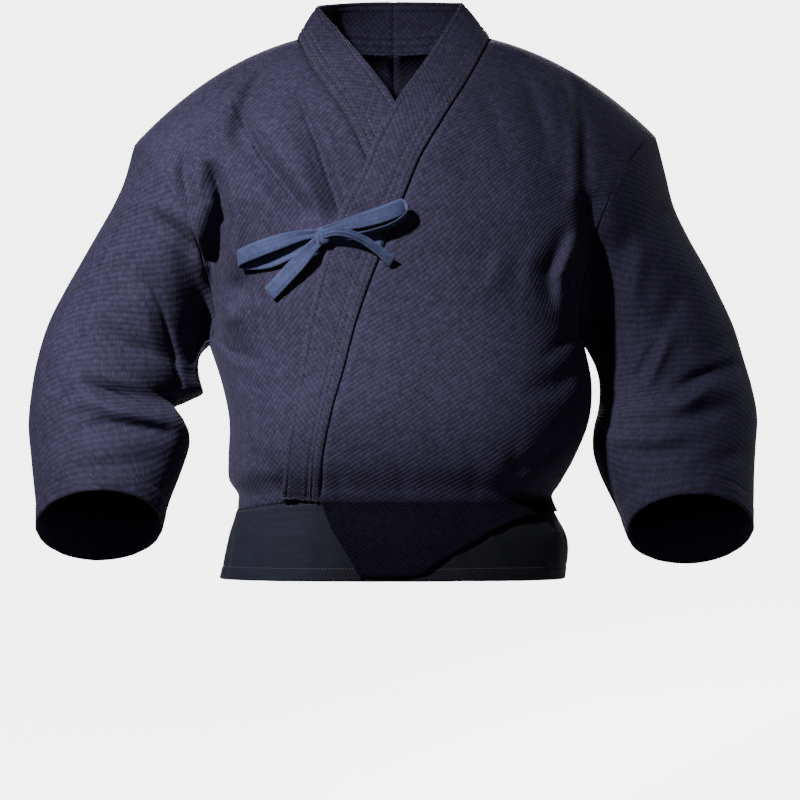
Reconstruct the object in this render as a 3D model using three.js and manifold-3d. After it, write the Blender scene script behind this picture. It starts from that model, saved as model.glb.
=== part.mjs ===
import * as THREE from "three";
import { mergeVertices } from "three/addons/utils/BufferGeometryUtils.js";
import Module from "manifold-3d";

// Kendo jacket as worn, closed left over right, with bent sleeves and a tied chest bow.
// Millimetres. +Z is up, the front faces -Y, and +X is the wearer's left.
// The origin is the middle of the base of the neck, where the jacket hangs on its wearer.

// Driving sizes
const SASHIKO_WALL = 2.4;
const COLLAR_WALL = 3.2;
const PLAIN_WALL = 1.6;
const TAPE_WALL = 1.4;
const SEAM_GAP = 0.3;
const LAP_LIFT = 5.4;
const COLLAR_RISE = 0.8;
const CORNER_LIFT = 4;
const LEFT_SKIRT_LIFT = 2.8;
const UNDERLAP_X = 60;
const CORNER_OVERLAP = 5;
const NECK_HALF_WIDTH = 101;
const NAPE_ROW = 12.6;
const NAPE_HEIGHT = 44;
const NAPE_DEPTH = 66;
const COLLAR_STANDS_FROM = -60;
const NECK_SEAM_Z = 2;

// Section shape: a rounded rectangle across, and a shoulder that falls away from the neck
const ROUNDNESS = 2 / 2.6;
const SHOULDER_FALL = 2.4;

// Rows of the body run from the front hem over the shoulder to the back hem
const FRONT_HEM_ROW = -2;
const WAIST_ROW = 0;
const ARMPIT_ROW = 4;
const RIDGE_ROW = 11;
const BACK_ARMPIT_ROW = 2 * RIDGE_ROW - ARMPIT_ROW;
const BACK_WAIST_ROW = 2 * RIDGE_ROW;
const BACK_HEM_ROW = BACK_WAIST_ROW + 2;

const NAVY = 0x2c2c42;
const PLAIN_NAVY = 0x23282f;
const TIE_BLUE = 0x3d4d78;

function table(columns, rows) {
  return rows.map((row) => Object.fromEntries(columns.map((name, i) => [name, row[i]])));
}

// Smooth reading of one column of a table at a value of another column, which rises
function read(rows, by, value, column) {
  const last = rows.length - 1;
  const at = Math.min(Math.max(value, rows[0][by]), rows[last][by]);
  let i = 0;
  while (i < last - 1 && at > rows[i + 1][by]) i += 1;
  const slope = (k) => {
    const before = rows[Math.max(k - 1, 0)];
    const after = rows[Math.min(k + 1, last)];
    return (after[column] - before[column]) / (after[by] - before[by]);
  };
  const span = rows[i + 1][by] - rows[i][by];
  const t = (at - rows[i][by]) / span;
  const rise = t * t * (3 - 2 * t);
  const start = rows[i][column] * (1 - rise) + rows[i + 1][column] * rise;
  return start + span * t * (1 - t) * (slope(i) * (1 - t) - slope(i + 1) * t);
}

function smooth(from, to, value) {
  const t = Math.min(Math.max((value - from) / (to - from), 0), 1);
  return t * t * (3 - 2 * t);
}

// Middle of the body at each row: front rows, the shoulder ridge, then back rows
const MIDDLE = table(["row", "y", "z"], [
  [-2, -139, -564],
  [-1, -133, -522],
  [0, -125, -480],
  [1, -149, -440],
  [2, -157, -398],
  [3, -152, -345],
  [4, -141, -279],
  [5, -131, -198],
  [6, -121, -130],
  [7, -109, -88],
  [8, -91, -60],
  [9, -67, -36],
  [10, -36, -10],
  [11, 0, 12],
  [12, 50, 2],
  [13, 90, -22],
  [14, 110, -52],
  [15, 121, -88],
  [16, 126, -132],
  [17, 126, -200],
  [18, 122, -279],
  [19, 117, -345],
  [20, 115, -398],
  [21, 111, -440],
  [22, 98, -480],
  [23, 103, -522],
  [24, 108, -564],
]);

// Side seams below the armholes, on the wearer's right and left
const SIDES = table(["z", "right", "left"], [
  [-564, -182, 180],
  [-522, -173, 182],
  [-480, -162, 163],
  [-462, -172, 176],
  [-440, -173, 189],
  [-400, -172, 205],
  [-360, -180, 208],
  [-318, -194, 200],
]);

// Armholes: top and underarm points, depth to front and back, and how far the seam bows inwards and up
const ARMHOLES = {
  right: { topX: -272, topZ: -110, underX: -194, underZ: -318, depth: 86, bow: 25, rise: 13 },
  left: { topX: 276, topZ: -102, underX: 200, underZ: -318, depth: 86, bow: -25, rise: 13 },
};

function armholeAngle(row) {
  return (Math.PI * (RIDGE_ROW - row)) / (RIDGE_ROW - ARMPIT_ROW);
}

function armholePoint(side, row) {
  const hole = ARMHOLES[side];
  const angle = armholeAngle(row);
  const half = (1 + Math.cos(angle)) / 2;
  const depth = Math.sin(angle);
  const reach = Math.abs(depth);
  return new THREE.Vector3(
    hole.underX + (hole.topX - hole.underX) * half + hole.bow * reach,
    -hole.depth * depth,
    hole.underZ + (hole.topZ - hole.underZ) * half + hole.rise * reach,
  );
}

function sidePoint(side, row) {
  if (row > ARMPIT_ROW && row < BACK_ARMPIT_ROW) return armholePoint(side, row);
  const z = read(MIDDLE, "row", row, "z");
  const top = read(MIDDLE, "row", ARMPIT_ROW, "z");
  const hem = read(MIDDLE, "row", FRONT_HEM_ROW, "z");
  const armpit = ARMHOLES[side].underZ;
  const level = hem + ((z - hem) * (armpit - hem)) / (top - hem);
  return new THREE.Vector3(read(SIDES, "z", level, side), 0, level);
}

// Folds as lines of three points in the front or back view, with a width and a height.
// A groove has a height below nothing. The last two columns are the strength at the ends.
const FOLD = ["x1", "z1", "x2", "z2", "x3", "z3", "width", "height", "start", "end"];
const FRONT_FOLDS = table(FOLD, [
  [-100, -61, -75, -122, -55, -183, 8, -6, 0.2, 1],
  [-163, -74, -135, -127, -91, -184, 11, -6, 0.2, 0.8],
  [-128, -66, -104, -128, -74, -188, 12, 3, 0, 0.6],
  [-190, -300, -166, -322, -138, -346, 10, -6, 0.8, 0],
  [-184, -270, -170, -292, -140, -318, 13, 5, 0.8, 0],
  [-192, -140, -180, -175, -184, -235, 11, -8, 0.3, 0.6],
  [118, -14, 134, -42, 170, -131, 15, -6, 0.2, 0],
  [150, -34, 164, -80, 180, -150, 13, 5, 0.2, 0],
  [176, -207, 158, -248, 161, -286, 9, -6, 0.6, 0],
]);
const BACK_FOLDS = table(FOLD, [
  [-178, -150, -150, -205, -128, -290, 15, -6, 0.3, 0],
  [-150, -120, -124, -185, -104, -270, 16, 4, 0, 0],
  [182, -146, 156, -208, 138, -300, 15, -6, 0.3, 0],
  [150, -112, 128, -180, 112, -262, 16, 4, 0, 0],
  [-150, -400, -90, -418, -28, -410, 12, -5, 0, 0],
  [40, -406, 92, -420, 160, -398, 12, -5, 0, 0],
]);

function foldStrength(fold, x, z) {
  let best = { gap: Infinity, along: 0 };
  const spans = [
    [fold.x1, fold.z1, fold.x2, fold.z2, 0],
    [fold.x2, fold.z2, fold.x3, fold.z3, 0.5],
  ];
  for (const [ax, az, bx, bz, from] of spans) {
    const dx = bx - ax;
    const dz = bz - az;
    const t = Math.min(Math.max(((x - ax) * dx + (z - az) * dz) / (dx * dx + dz * dz), 0), 1);
    const gap = Math.hypot(x - ax - t * dx, z - az - t * dz);
    if (gap < best.gap) best = { gap, along: from + t / 2 };
  }
  const t = best.along;
  const ends = fold.start * (1 - t) + fold.end * t;
  const middle = 4 * t * (1 - t) * (1 - (fold.start + fold.end) / 2);
  return fold.height * Math.exp(-((best.gap / fold.width) ** 2)) * (ends + middle);
}

function folded(folds, x, z) {
  return folds.reduce((sum, fold) => sum + foldStrength(fold, x, z), 0);
}

// One point of the body. Turn runs across, from -90 degrees at the wearer's right to 90 at the left.
function bodyPoint(turn, row) {
  const side = turn < 0 ? "right" : "left";
  const edge = sidePoint(side, row);
  const across = Math.abs(Math.sin(turn)) ** ROUNDNESS;
  const deep = Math.max(Math.cos(turn), 0) ** ROUNDNESS;
  const y = read(MIDDLE, "row", row, "y");
  const z = read(MIDDLE, "row", row, "z");
  const point = new THREE.Vector3(
    edge.x * across,
    edge.y + (y - edge.y) * deep,
    z + (edge.z - z) * across ** SHOULDER_FALL,
  );
  const ease = smooth(0, 0.25, deep);
  const ridge = smooth(0, 1.5, Math.abs(row - RIDGE_ROW));
  if (row < RIDGE_ROW) point.y -= folded(FRONT_FOLDS, point.x, point.z) * ease * ridge;
  else point.y += folded(BACK_FOLDS, point.x, point.z) * ease * ridge;
  return point;
}

function bodyNormal(turn, row) {
  const quarter = Math.PI / 2;
  const small = 0.002;
  const step = 0.02;
  const right = bodyPoint(Math.max(turn - small, -quarter), row);
  const left = bodyPoint(Math.min(turn + small, quarter), row);
  const below = bodyPoint(turn, Math.max(row - step, FRONT_HEM_ROW));
  const above = bodyPoint(turn, Math.min(row + step, BACK_HEM_ROW));
  return left.sub(right).cross(above.sub(below)).normalize();
}

function turnAt(x, row) {
  const edge = sidePoint(x < 0 ? "right" : "left", row);
  const across = Math.min(Math.abs(x / edge.x), 1);
  return Math.sign(x) * Math.asin(across ** (1 / ROUNDNESS));
}

// Row of the front at a place given in the front view
function frontRowAt(x, z) {
  let low = FRONT_HEM_ROW;
  let high = RIDGE_ROW;
  for (let i = 0; i < 40; i += 1) {
    const middle = (low + high) / 2;
    if (bodyPoint(turnAt(x, middle), middle).z < z) low = middle;
    else high = middle;
  }
  return (low + high) / 2;
}

// The collar in the front view: its seam to the body and its free edge, from the waist up
const COLLAR = ["seamZ", "seamX", "edgeX", "edgeZ"];
const OVER_COLLAR = table(COLLAR, [
  [-478.5, -75, -114, -478.5],
  [-435, -72, -108, -433],
  [-388, -62, -100, -385],
  [-345, -50, -92, -338],
  [-302, -39, -84, -292],
  [-262, -26, -75, -249],
  [-226, -12, -63, -209],
  [-190, 2, -47, -171],
  [-163, 13, -33, -145],
  [-127, 28, -17, -108],
  [-90, 50, 7, -64],
  [-49, 75, 33, -25],
]);
const UNDER_COLLAR = table(COLLAR, [
  [-478.5, 77, 116, -478.5],
  [-435, 72, 109, -433],
  [-388, 62, 101, -385],
  [-345, 50, 92, -338],
  [-302, 39, 84, -292],
  [-262, 26, 75, -249],
  [-226, 12, 63, -209],
  [-190, -2, 47, -171],
  [-163, -13, 33, -145],
  [-127, -28, 17, -108],
  [-94, -43, 0, -66],
  [-63, -62, -22, -34],
  [-30, -85, -46, -4],
]);
const COLLARS = { right: UNDER_COLLAR, left: OVER_COLLAR };
const NECK_TOP = { left: { x: 72, y: 4, z: 39 }, right: { x: -80, y: 4, z: 35 } };

// The front edge of the left panel where its corner hangs free below the waist
const CORNER = table(["z", "x"], [
  [-564, -33],
  [-540, -46],
  [-510, -64],
  [-478.5, -75],
]);

// How far the left side lies over the right: none at the shoulder and the side seam
function lap(x, z) {
  return LAP_LIFT * smooth(-12, -82, z) * smooth(186, 128, x);
}

const WIDEST_TURN = 1.5;

// Turn of the body's inner edge at a row: the collar seam, the neck, or the centre back seam
function innerTurn(side, row) {
  const sign = side === "right" ? -1 : 1;
  if (row >= NAPE_ROW) return turnAt(sign * (SEAM_GAP / 2), row);
  if (row >= RIDGE_ROW) {
    const back = (row - RIDGE_ROW) / (NAPE_ROW - RIDGE_ROW);
    const x = NECK_HALF_WIDTH * Math.sqrt(Math.max(1 - back * back, 0)) + SEAM_GAP / 2;
    return turnAt(sign * x, row);
  }
  const seam = [...COLLARS[side], { seamZ: NECK_SEAM_Z, seamX: sign * NECK_HALF_WIDTH }];
  const seamX = (z) => {
    return row < WAIST_ROW ? read(CORNER, "z", z, "x") : read(seam, "seamZ", z, "seamX");
  };
  let low = -WIDEST_TURN;
  let high = WIDEST_TURN;
  for (let i = 0; i < 40; i += 1) {
    const middle = (low + high) / 2;
    const point = bodyPoint(middle, row);
    if (point.x < seamX(point.z) + (sign * SEAM_GAP) / 2) low = middle;
    else high = middle;
  }
  return (low + high) / 2;
}

// A closed wall from a grid of outer points and a grid of inner points
function wallGeometry(outer, inner, wrapped) {
  const across = outer.length;
  const along = outer[0].length;
  const vertices = [...outer.flat(), ...inner.flat()].flatMap((p) => [p.x, p.y, p.z]);
  const out = (i, j) => (i % across) * along + j;
  const within = (i, j) => across * along + out(i, j);
  const faces = [];
  const quad = (a, b, c, d) => faces.push(a, b, c, a, c, d);
  const columns = wrapped ? across : across - 1;
  for (let i = 0; i < columns; i += 1) {
    for (let j = 0; j < along - 1; j += 1) {
      quad(out(i, j), out(i + 1, j), out(i + 1, j + 1), out(i, j + 1));
      quad(within(i, j), within(i, j + 1), within(i + 1, j + 1), within(i + 1, j));
    }
    quad(out(i, 0), within(i, 0), within(i + 1, 0), out(i + 1, 0));
    quad(out(i, along - 1), out(i + 1, along - 1), within(i + 1, along - 1), within(i, along - 1));
  }
  if (!wrapped) {
    for (let j = 0; j < along - 1; j += 1) {
      quad(out(0, j), out(0, j + 1), within(0, j + 1), within(0, j));
      const end = across - 1;
      quad(out(end, j), within(end, j), within(end, j + 1), out(end, j + 1));
    }
  }
  const geometry = new THREE.BufferGeometry();
  geometry.setAttribute("position", new THREE.Float32BufferAttribute(vertices, 3));
  geometry.setIndex(faces);
  return facingOut(geometry);
}

// The same geometry with its faces turned round where they point in
function facingOut(geometry) {
  const place = geometry.attributes.position;
  const index = geometry.index.array;
  const corner = (k) => new THREE.Vector3().fromBufferAttribute(place, index[k]);
  let volume = 0;
  for (let k = 0; k < index.length; k += 3) {
    volume += corner(k).dot(corner(k + 1).cross(corner(k + 2)));
  }
  if (volume < 0) {
    for (let k = 0; k < index.length; k += 3) {
      [index[k + 1], index[k + 2]] = [index[k + 2], index[k + 1]];
    }
  }
  geometry.computeVertexNormals();
  return geometry;
}

const jacket = new THREE.Group();

function addPiece(name, geometry, colour, roughness) {
  const material = new THREE.MeshStandardMaterial({ color: colour, roughness, metalness: 0 });
  const mesh = new THREE.Mesh(geometry, material);
  mesh.name = name;
  jacket.add(mesh);
}

// Sleeves: rings from the armhole to the cuff, each with its outer and inner side in the front view
const RING = ["ring", "outX", "outZ", "inX", "inZ", "y", "depth", "bow", "rise", "tilt"];
const SLEEVES = {
  right: table(RING, [
    [0, -272, -110, -194, -318, 0, 86, 25, 13, 0],
    [1, -283, -148, -204, -331, 8, 80, 14, 8, 1],
    [2, -296, -176, -206, -341, 13, 76, 7, 4, 3],
    [3, -312, -204, -205, -350, 16, 74, 2, 1, 5],
    [4, -329, -234, -203, -358, 17, 72, 0, 0, 8],
    [5, -346, -264, -201, -365, 17, 71, 0, 0, 10],
    [6, -363, -298, -201, -371, 16, 70, 0, 0, 12],
    [7, -374, -334, -215, -377, 12, 68, 0, 0, 15],
    [8, -380, -368, -230, -384, 6, 66, 0, 0, 19],
    [9, -383, -404, -219, -402, -2, 64, 0, 0, 24],
    [10, -380, -436, -213, -420, -11, 62, 0, 0, 29],
    [11, -377, -462, -221, -447, -19, 61, 0, 0, 33],
    [12, -374, -488, -233, -478, -27, 60, 0, 0, 36],
    [13, -373, -511, -241, -507, -34, 59, 0, 0, 38],
  ]),
  left: table(RING, [
    [0, 276, -102, 200, -318, 0, 86, -25, 13, 0],
    [1, 286, -140, 208, -332, 8, 80, -14, 8, 1],
    [2, 295, -174, 213, -343, 13, 76, -7, 4, 3],
    [3, 311, -208, 216, -354, 16, 74, -2, 1, 5],
    [4, 329, -240, 217, -364, 17, 72, 0, 0, 8],
    [5, 344, -270, 217, -374, 17, 71, 0, 0, 10],
    [6, 358, -301, 216, -384, 16, 70, 0, 0, 12],
    [7, 368, -334, 214, -394, 12, 68, 0, 0, 15],
    [8, 377, -366, 211, -405, 6, 66, 0, 0, 19],
    [9, 382, -396, 209, -418, -2, 64, 0, 0, 24],
    [10, 380, -426, 210, -434, -11, 62, 0, 0, 29],
    [11, 378, -454, 217, -454, -19, 61, 0, 0, 33],
    [12, 377, -484, 231, -482, -27, 60, 0, 0, 36],
    [13, 376, -511, 244, -514, -34, 59, 0, 0, 38],
  ]),
};
const CUFF_RING = 13;
// Folds of the sleeve's front show on its back the other way and weaker
const BACK_FOLD_SHARE = -0.6;
const SLEEVE_FOLDS = {
  right: table(FOLD, [
    [-324, -352, -297, -368, -236, -381, 9, -7, 0, 1],
    [-334, -374, -290, -391, -232, -398, 11, 5, 0, 0.8],
    [-244, -185, -222, -205, -204, -238, 10, -6, 0, 0.6],
    [-250, -270, -240, -312, -226, -350, 10, -5, 0, 0.4],
    [-330, -412, -290, -402, -240, -408, 10, -4, 0, 0.5],
    [-222, -212, -208, -255, -206, -310, 12, -8, 0.2, 0.6],
  ]),
  left: table(FOLD, [
    [358, -342, 318, -356, 290, -370, 9, -6, 0.4, 0],
    [362, -360, 318, -374, 290, -388, 10, 5, 0.4, 0],
    [290, -306, 272, -342, 258, -372, 11, 5, 0, 0],
    [246, -190, 232, -230, 226, -290, 11, -5, 0.3, 0],
  ]),
};

function sleevePoint(side, ring, angle) {
  const rows = SLEEVES[side];
  const value = (column) => read(rows, "ring", ring, column);
  const half = (1 + Math.cos(angle)) / 2;
  const depth = Math.sin(angle);
  const reach = Math.abs(depth);
  const inX = value("inX");
  const inZ = value("inZ");
  const point = new THREE.Vector3(
    inX + (value("outX") - inX) * half + value("bow") * reach,
    value("y") - value("depth") * depth,
    inZ + (value("outZ") - inZ) * half + value("rise") * reach + value("tilt") * depth,
  );
  const ease = smooth(0, 2, ring) * smooth(0.1, 0.6, reach);
  const crease = folded(SLEEVE_FOLDS[side], point.x, point.z) * ease;
  point.y -= depth > 0 ? crease : BACK_FOLD_SHARE * crease;
  return point;
}

function sleeveNormal(side, ring, angle) {
  const small = 0.01;
  const around = sleevePoint(side, ring, angle + small).sub(sleevePoint(side, ring, angle - small));
  const down = sleevePoint(side, Math.min(ring + small, CUFF_RING), angle);
  down.sub(sleevePoint(side, Math.max(ring - small, 0), angle));
  const normal = around.cross(down).normalize();
  const centre = sleevePoint(side, ring, 0).add(sleevePoint(side, ring, Math.PI)).multiplyScalar(0.5);
  if (normal.dot(sleevePoint(side, ring, angle).sub(centre)) < 0) normal.negate();
  return normal;
}

// Normal shared by the body and the sleeve along the armhole: away from the middle of the hole
function armholeNormal(side, row) {
  const step = 0.05;
  const middle = armholePoint(side, RIDGE_ROW).add(armholePoint(side, ARMPIT_ROW)).multiplyScalar(0.5);
  const away = armholePoint(side, row).sub(middle);
  const along = armholePoint(side, row + step).sub(armholePoint(side, row - step)).normalize();
  return away.addScaledVector(along, -away.dot(along)).normalize();
}

// Places along a body panel, front half. The back half has the same ones in reverse.
const LOWER_ROWS = [0, 0.5, 1, 1.6, 2.2, 2.9, 3.5, 4];
const UPPER_ROWS = [4.6, 5.2, 5.8, 6.4, 7, 7.6, 8.2, 8.8, 9.4, 9.5, 9.7, 10, 10.5];
const PANEL_ROWS = [...LOWER_ROWS, ...UPPER_ROWS];
const BACK_ROWS = [...PANEL_ROWS].reverse().map((row) => BACK_WAIST_ROW - row);
const CORNER_STEPS = [3, 2, 1];
const ROW_HEIGHT = 40;
const HALF_SEAM_ROW = SEAM_GAP / 2 / ROW_HEIGHT;
const CORNER_MIDDLE_ROW = -0.5;
const PANEL_COLUMNS = { right: 16, left: 14 };
const SLEEVE_STEPS = { right: 18, left: 20 };

// Short ways into a piece from its armhole edge, along which the seam gap is left
const INWARD_RING = 0.3;
const INWARD_TURN = 0.2;

// Rings round the sleeve start at the same places as the body's rows, so that the seam matches
function sleeve(side) {
  const steps = SLEEVE_STEPS[side];
  const rows = [...UPPER_ROWS, RIDGE_ROW, ...BACK_ROWS.filter((row) => row <= BACK_ARMPIT_ROW)];
  const outer = [];
  const inner = [];
  for (const row of rows) {
    const angle = armholeAngle(row);
    const across = [];
    const within = [];
    for (let j = 0; j <= steps; j += 1) {
      const ring = (CUFF_RING * j) / steps;
      const point = sleevePoint(side, ring, angle);
      let normal = sleeveNormal(side, ring, angle);
      if (j === 0) {
        normal = armholeNormal(side, row);
        point.add(sleevePoint(side, INWARD_RING, angle).sub(point).setLength(SEAM_GAP / 2));
      }
      across.push(point);
      within.push(point.clone().addScaledVector(normal, -SASHIKO_WALL));
    }
    outer.push(across);
    inner.push(within);
  }
  addPiece(`sleeve_${side}`, wallGeometry(outer, inner, true), NAVY, 0.9);
}

// Bottom of the left panel's free corner: nearly to the hem at its front edge, none at the side
const CORNER_FOOT = table(["x", "row"], [
  [-80, -1.9],
  [-33, -1.9],
  [10, -1.62],
  [60, -1.15],
  [110, -0.62],
  [165, -0.12],
]);

function skirtLift(x) {
  return LEFT_SKIRT_LIFT * smooth(150, 90, x);
}

// How far the left panel stands off the body: over the right side, and over the skirt at its foot
function leftLift(x, z, row) {
  const over = lap(x, z);
  const foot = Math.max(skirtLift(x) + CORNER_LIFT - over, 0);
  return over + foot * smooth(1, 0, row);
}

// Body panel: front and back in one length of cloth over the shoulder
function bodyPanel(side) {
  const columns = PANEL_COLUMNS[side];
  const sign = side === "right" ? -1 : 1;
  const edge = sign * (Math.PI / 2);
  const corner = side === "left" ? CORNER_STEPS.map((step) => -step) : [];
  const rows = [...corner, ...PANEL_ROWS, RIDGE_ROW, ...BACK_ROWS];
  const outer = [];
  const inner = [];
  for (let i = 0; i <= columns; i += 1) {
    const span = i / columns;
    const along = [];
    const within = [];
    for (const step of rows) {
      let row = step;
      if (step < WAIST_ROW) {
        const start = innerTurn(side, CORNER_MIDDLE_ROW);
        const guess = bodyPoint(start * (1 - span) + edge * span, CORNER_MIDDLE_ROW);
        row = (read(CORNER_FOOT, "x", guess.x, "row") * -step) / CORNER_STEPS.length;
      }
      if (step === BACK_WAIST_ROW) row = BACK_WAIST_ROW - HALF_SEAM_ROW;
      if (step === WAIST_ROW && side === "right") row = HALF_SEAM_ROW;
      const start = innerTurn(side, row);
      const turn = start + (edge - start) * span;
      const point = bodyPoint(turn, row);
      let normal = bodyNormal(turn, row);
      const lift = side === "left" && row < RIDGE_ROW ? leftLift(point.x, point.z, row) : 0;
      if (i === columns && row >= ARMPIT_ROW && row <= BACK_ARMPIT_ROW) {
        normal = armholeNormal(side, row);
        point.add(bodyPoint(turn - sign * INWARD_TURN, row).sub(point).setLength(SEAM_GAP / 2));
      } else if (i === columns) {
        point.y += row < RIDGE_ROW ? -SEAM_GAP / 2 : SEAM_GAP / 2;
      }
      along.push(point.clone().addScaledVector(normal, lift));
      within.push(point.clone().addScaledVector(normal, lift - SASHIKO_WALL));
    }
    outer.push(along);
    inner.push(within);
  }
  addPiece(`body_${side}`, wallGeometry(outer, inner, false), NAVY, 0.9);
}

// Share of the collar's rise round the neck that is even, while the rest eases in and out
const STEADY_CLIMB = 0.6;

// Point of the collar's free edge at a row, on the chest or standing round the neck
function collarEdge(side, row, seam) {
  const top = NECK_TOP[side];
  if (row >= RIDGE_ROW) {
    const back = Math.min((row - RIDGE_ROW) / (NAPE_ROW - RIDGE_ROW), 1);
    const sideways = Math.sqrt(1 - back * back);
    const x = top.x * sideways + Math.sign(top.x) * (SEAM_GAP / 2);
    const y = top.y + (NAPE_DEPTH - top.y) * back;
    return new THREE.Vector3(x, y, top.z + (NAPE_HEIGHT - top.z) * back);
  }
  const rows = [...COLLARS[side], { seamZ: NECK_SEAM_Z, edgeX: top.x, edgeZ: top.z }];
  const x = read(rows, "seamZ", seam.z, "edgeX");
  const z = read(rows, "seamZ", seam.z, "edgeZ");
  const level = frontRowAt(x, Math.min(z, COLLAR_STANDS_FROM));
  const point = bodyPoint(turnAt(x, level), level);
  const climb = Math.max((z - COLLAR_STANDS_FROM) / (top.z - COLLAR_STANDS_FROM), 0);
  const stand = STEADY_CLIMB * climb + (1 - STEADY_CLIMB) * smooth(0, 1, climb);
  return new THREE.Vector3(x, point.y + (top.y - point.y) * stand, z);
}

// Half of the collar band, from the waist up the front and round to the middle of the nape
function collar(side) {
  const sign = side === "right" ? -1 : 1;
  const neck = [RIDGE_ROW, ...BACK_ROWS.filter((row) => row <= NAPE_ROW + 0.001)];
  const rows = [HALF_SEAM_ROW, ...PANEL_ROWS.slice(1), ...neck];
  const outer = [[], [], []];
  const inner = [[], [], []];
  const columns = rows.map((row) => {
    const turn = innerTurn(side, row);
    const seam = bodyPoint(turn, row);
    return { row, seam, normal: bodyNormal(turn, row), edge: collarEdge(side, row, seam) };
  });
  columns.forEach((column, j) => {
    const { row, seam, normal, edge } = column;
    const before = columns[Math.max(j - 1, 0)];
    const after = columns[Math.min(j + 1, columns.length - 1)];
    const across = edge.clone().sub(seam);
    const facing = across.clone().cross(after.edge.clone().sub(before.edge)).normalize();
    if (sign * facing.x < 0 && row > RIDGE_ROW - 1) facing.negate();
    if (facing.dot(normal) < 0 && row <= RIDGE_ROW - 1) facing.negate();
    if (j === columns.length - 1) facing.setX(0).normalize();
    const start = seam.clone().add(across.clone().setLength(SEAM_GAP));
    const places = [start, start.clone().lerp(edge, 0.5), edge];
    const normals = [normal, normal.clone().add(facing).normalize(), facing];
    places.forEach((place, k) => {
      const over = side === "left" && row < RIDGE_ROW ? lap(place.x, place.z) : 0;
      const lift = over + COLLAR_RISE;
      outer[k].push(place.clone().addScaledVector(normals[k], lift));
      inner[k].push(place.clone().addScaledVector(normals[k], lift - COLLAR_WALL));
    });
  });
  addPiece(`collar_${side}`, wallGeometry(outer, inner, false), NAVY, 0.9);
}

// Lower panels of plain cloth, sewn below the waist
function skirtPanel(name, startX, endX, front, liftAt) {
  const columns = front ? 14 : 20;
  const levels = [0, 0.6, 1.3, 2];
  const outer = [];
  const inner = [];
  for (let i = 0; i <= columns; i += 1) {
    const along = [];
    const within = [];
    for (const level of levels) {
      const depth = Math.max(level, HALF_SEAM_ROW);
      const row = front ? WAIST_ROW - depth : BACK_WAIST_ROW + depth;
      const from = turnAt(startX(row), row);
      const to = turnAt(endX(row), row);
      const turn = from + ((to - from) * i) / columns;
      const point = bodyPoint(turn, row);
      const normal = bodyNormal(turn, row);
      const atSide = Math.abs(turn) > Math.PI / 2 - 0.001;
      if (atSide) point.y += front ? -SEAM_GAP / 2 : SEAM_GAP / 2;
      const lift = liftAt(point.x);
      along.push(point.clone().addScaledVector(normal, lift));
      within.push(point.clone().addScaledVector(normal, lift - PLAIN_WALL));
    }
    outer.push(along);
    inner.push(within);
  }
  addPiece(name, wallGeometry(outer, inner, false), PLAIN_NAVY, 0.85);
}

const rightSide = (row) => sidePoint("right", row).x;
const leftSide = (row) => sidePoint("left", row).x;
const cornerX = (row) => read(CORNER, "z", read(MIDDLE, "row", row, "z"), "x") + CORNER_OVERLAP;

// Chest tie: flat tapes laid out by their middle line. Lift is out from the chest, lean is the way
// the width runs in the front view in degrees, and face is 0 flat to the front and 1 on edge.
// The tape is 16 wide and gathers towards the knot.
const TAPE = ["x", "z", "lift", "lean", "face", "wide"];
const KNOT = { x: -70, z: -211, lift: 13.2, across: 9.5, up: 10.5, deep: 6.3 };
const TAPES = {
  tie_end: table(TAPE, [
    [-12, -216, 7.3, 86, 0, 16],
    [-30, -214, 7.3, 88, 0, 16],
    [-48, -212.5, 7.4, 90, 0, 14],
    [-66, -211, 8.4, 90, 0, 10],
  ]),
  bow_loop_right: table(TAPE, [
    [-70, -208.5, 16, 90, 0.2, 8],
    [-88, -211, 18, 92, 0.2, 10],
    [-108, -215, 18, 94, 0.1, 14],
    [-132, -220, 16.5, 95, 0, 16],
    [-152, -224, 14.5, 95, 0, 16],
    [-161, -226.5, 11.5, 94, 0, 16],
    [-161, -229, 7.6, 94, 0, 16],
    [-150, -231, 5, 93, 0, 16],
    [-128, -231, 5, 92, 0, 16],
    [-104, -225, 7, 96, 0, 14],
    [-86, -217, 10, 98, 0.1, 10],
    [-70, -212.5, 11.5, 95, 0.2, 8],
  ]),
  bow_loop_left: table(TAPE, [
    [-70, -206, 16, 105, 0.2, 8],
    [-52, -202, 18.5, 110, 0.1, 10],
    [-34, -195, 20, 114, 0.05, 14],
    [-14, -186, 20.5, 116, 0.05, 16],
    [4, -176.5, 20, 116, 0.1, 16],
    [13, -173, 18, 110, 0.3, 16],
    [16, -180, 17, 80, 0.65, 16],
    [8, -189.5, 16, 60, 0.8, 16],
    [-6, -199, 15.5, 60, 0.85, 15],
    [-31, -208.5, 15, 66, 0.85, 12],
    [-50, -213, 14.5, 78, 0.7, 9],
    [-70, -213, 13.5, 85, 0.4, 7],
  ]),
  bow_tail_right: table(TAPE, [
    [-70, -213, 16, 130, 0.2, 9],
    [-81, -224, 15, 134, 0.15, 12],
    [-94, -238, 12, 136, 0.05, 15],
    [-110, -254, 8, 136, 0, 16],
    [-125, -269, 5, 134, 0, 16],
  ]),
  bow_tail_left: table(TAPE, [
    [-70, -211, 19, 90, 0.2, 7],
    [-56, -208.5, 23.5, 80, 0.3, 8],
    [-42, -211, 24, 70, 0.4, 9],
    [-28, -217.5, 20.5, 62, 0.45, 10],
    [-14, -227, 16, 58, 0.45, 11],
    [-1, -238, 12, 56, 0.35, 12],
  ]),
};

function onFront(x, z, lift) {
  const row = frontRowAt(x, z);
  const turn = turnAt(x, row);
  const normal = bodyNormal(turn, row);
  return { point: bodyPoint(turn, row).addScaledVector(normal, lift), normal };
}

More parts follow.
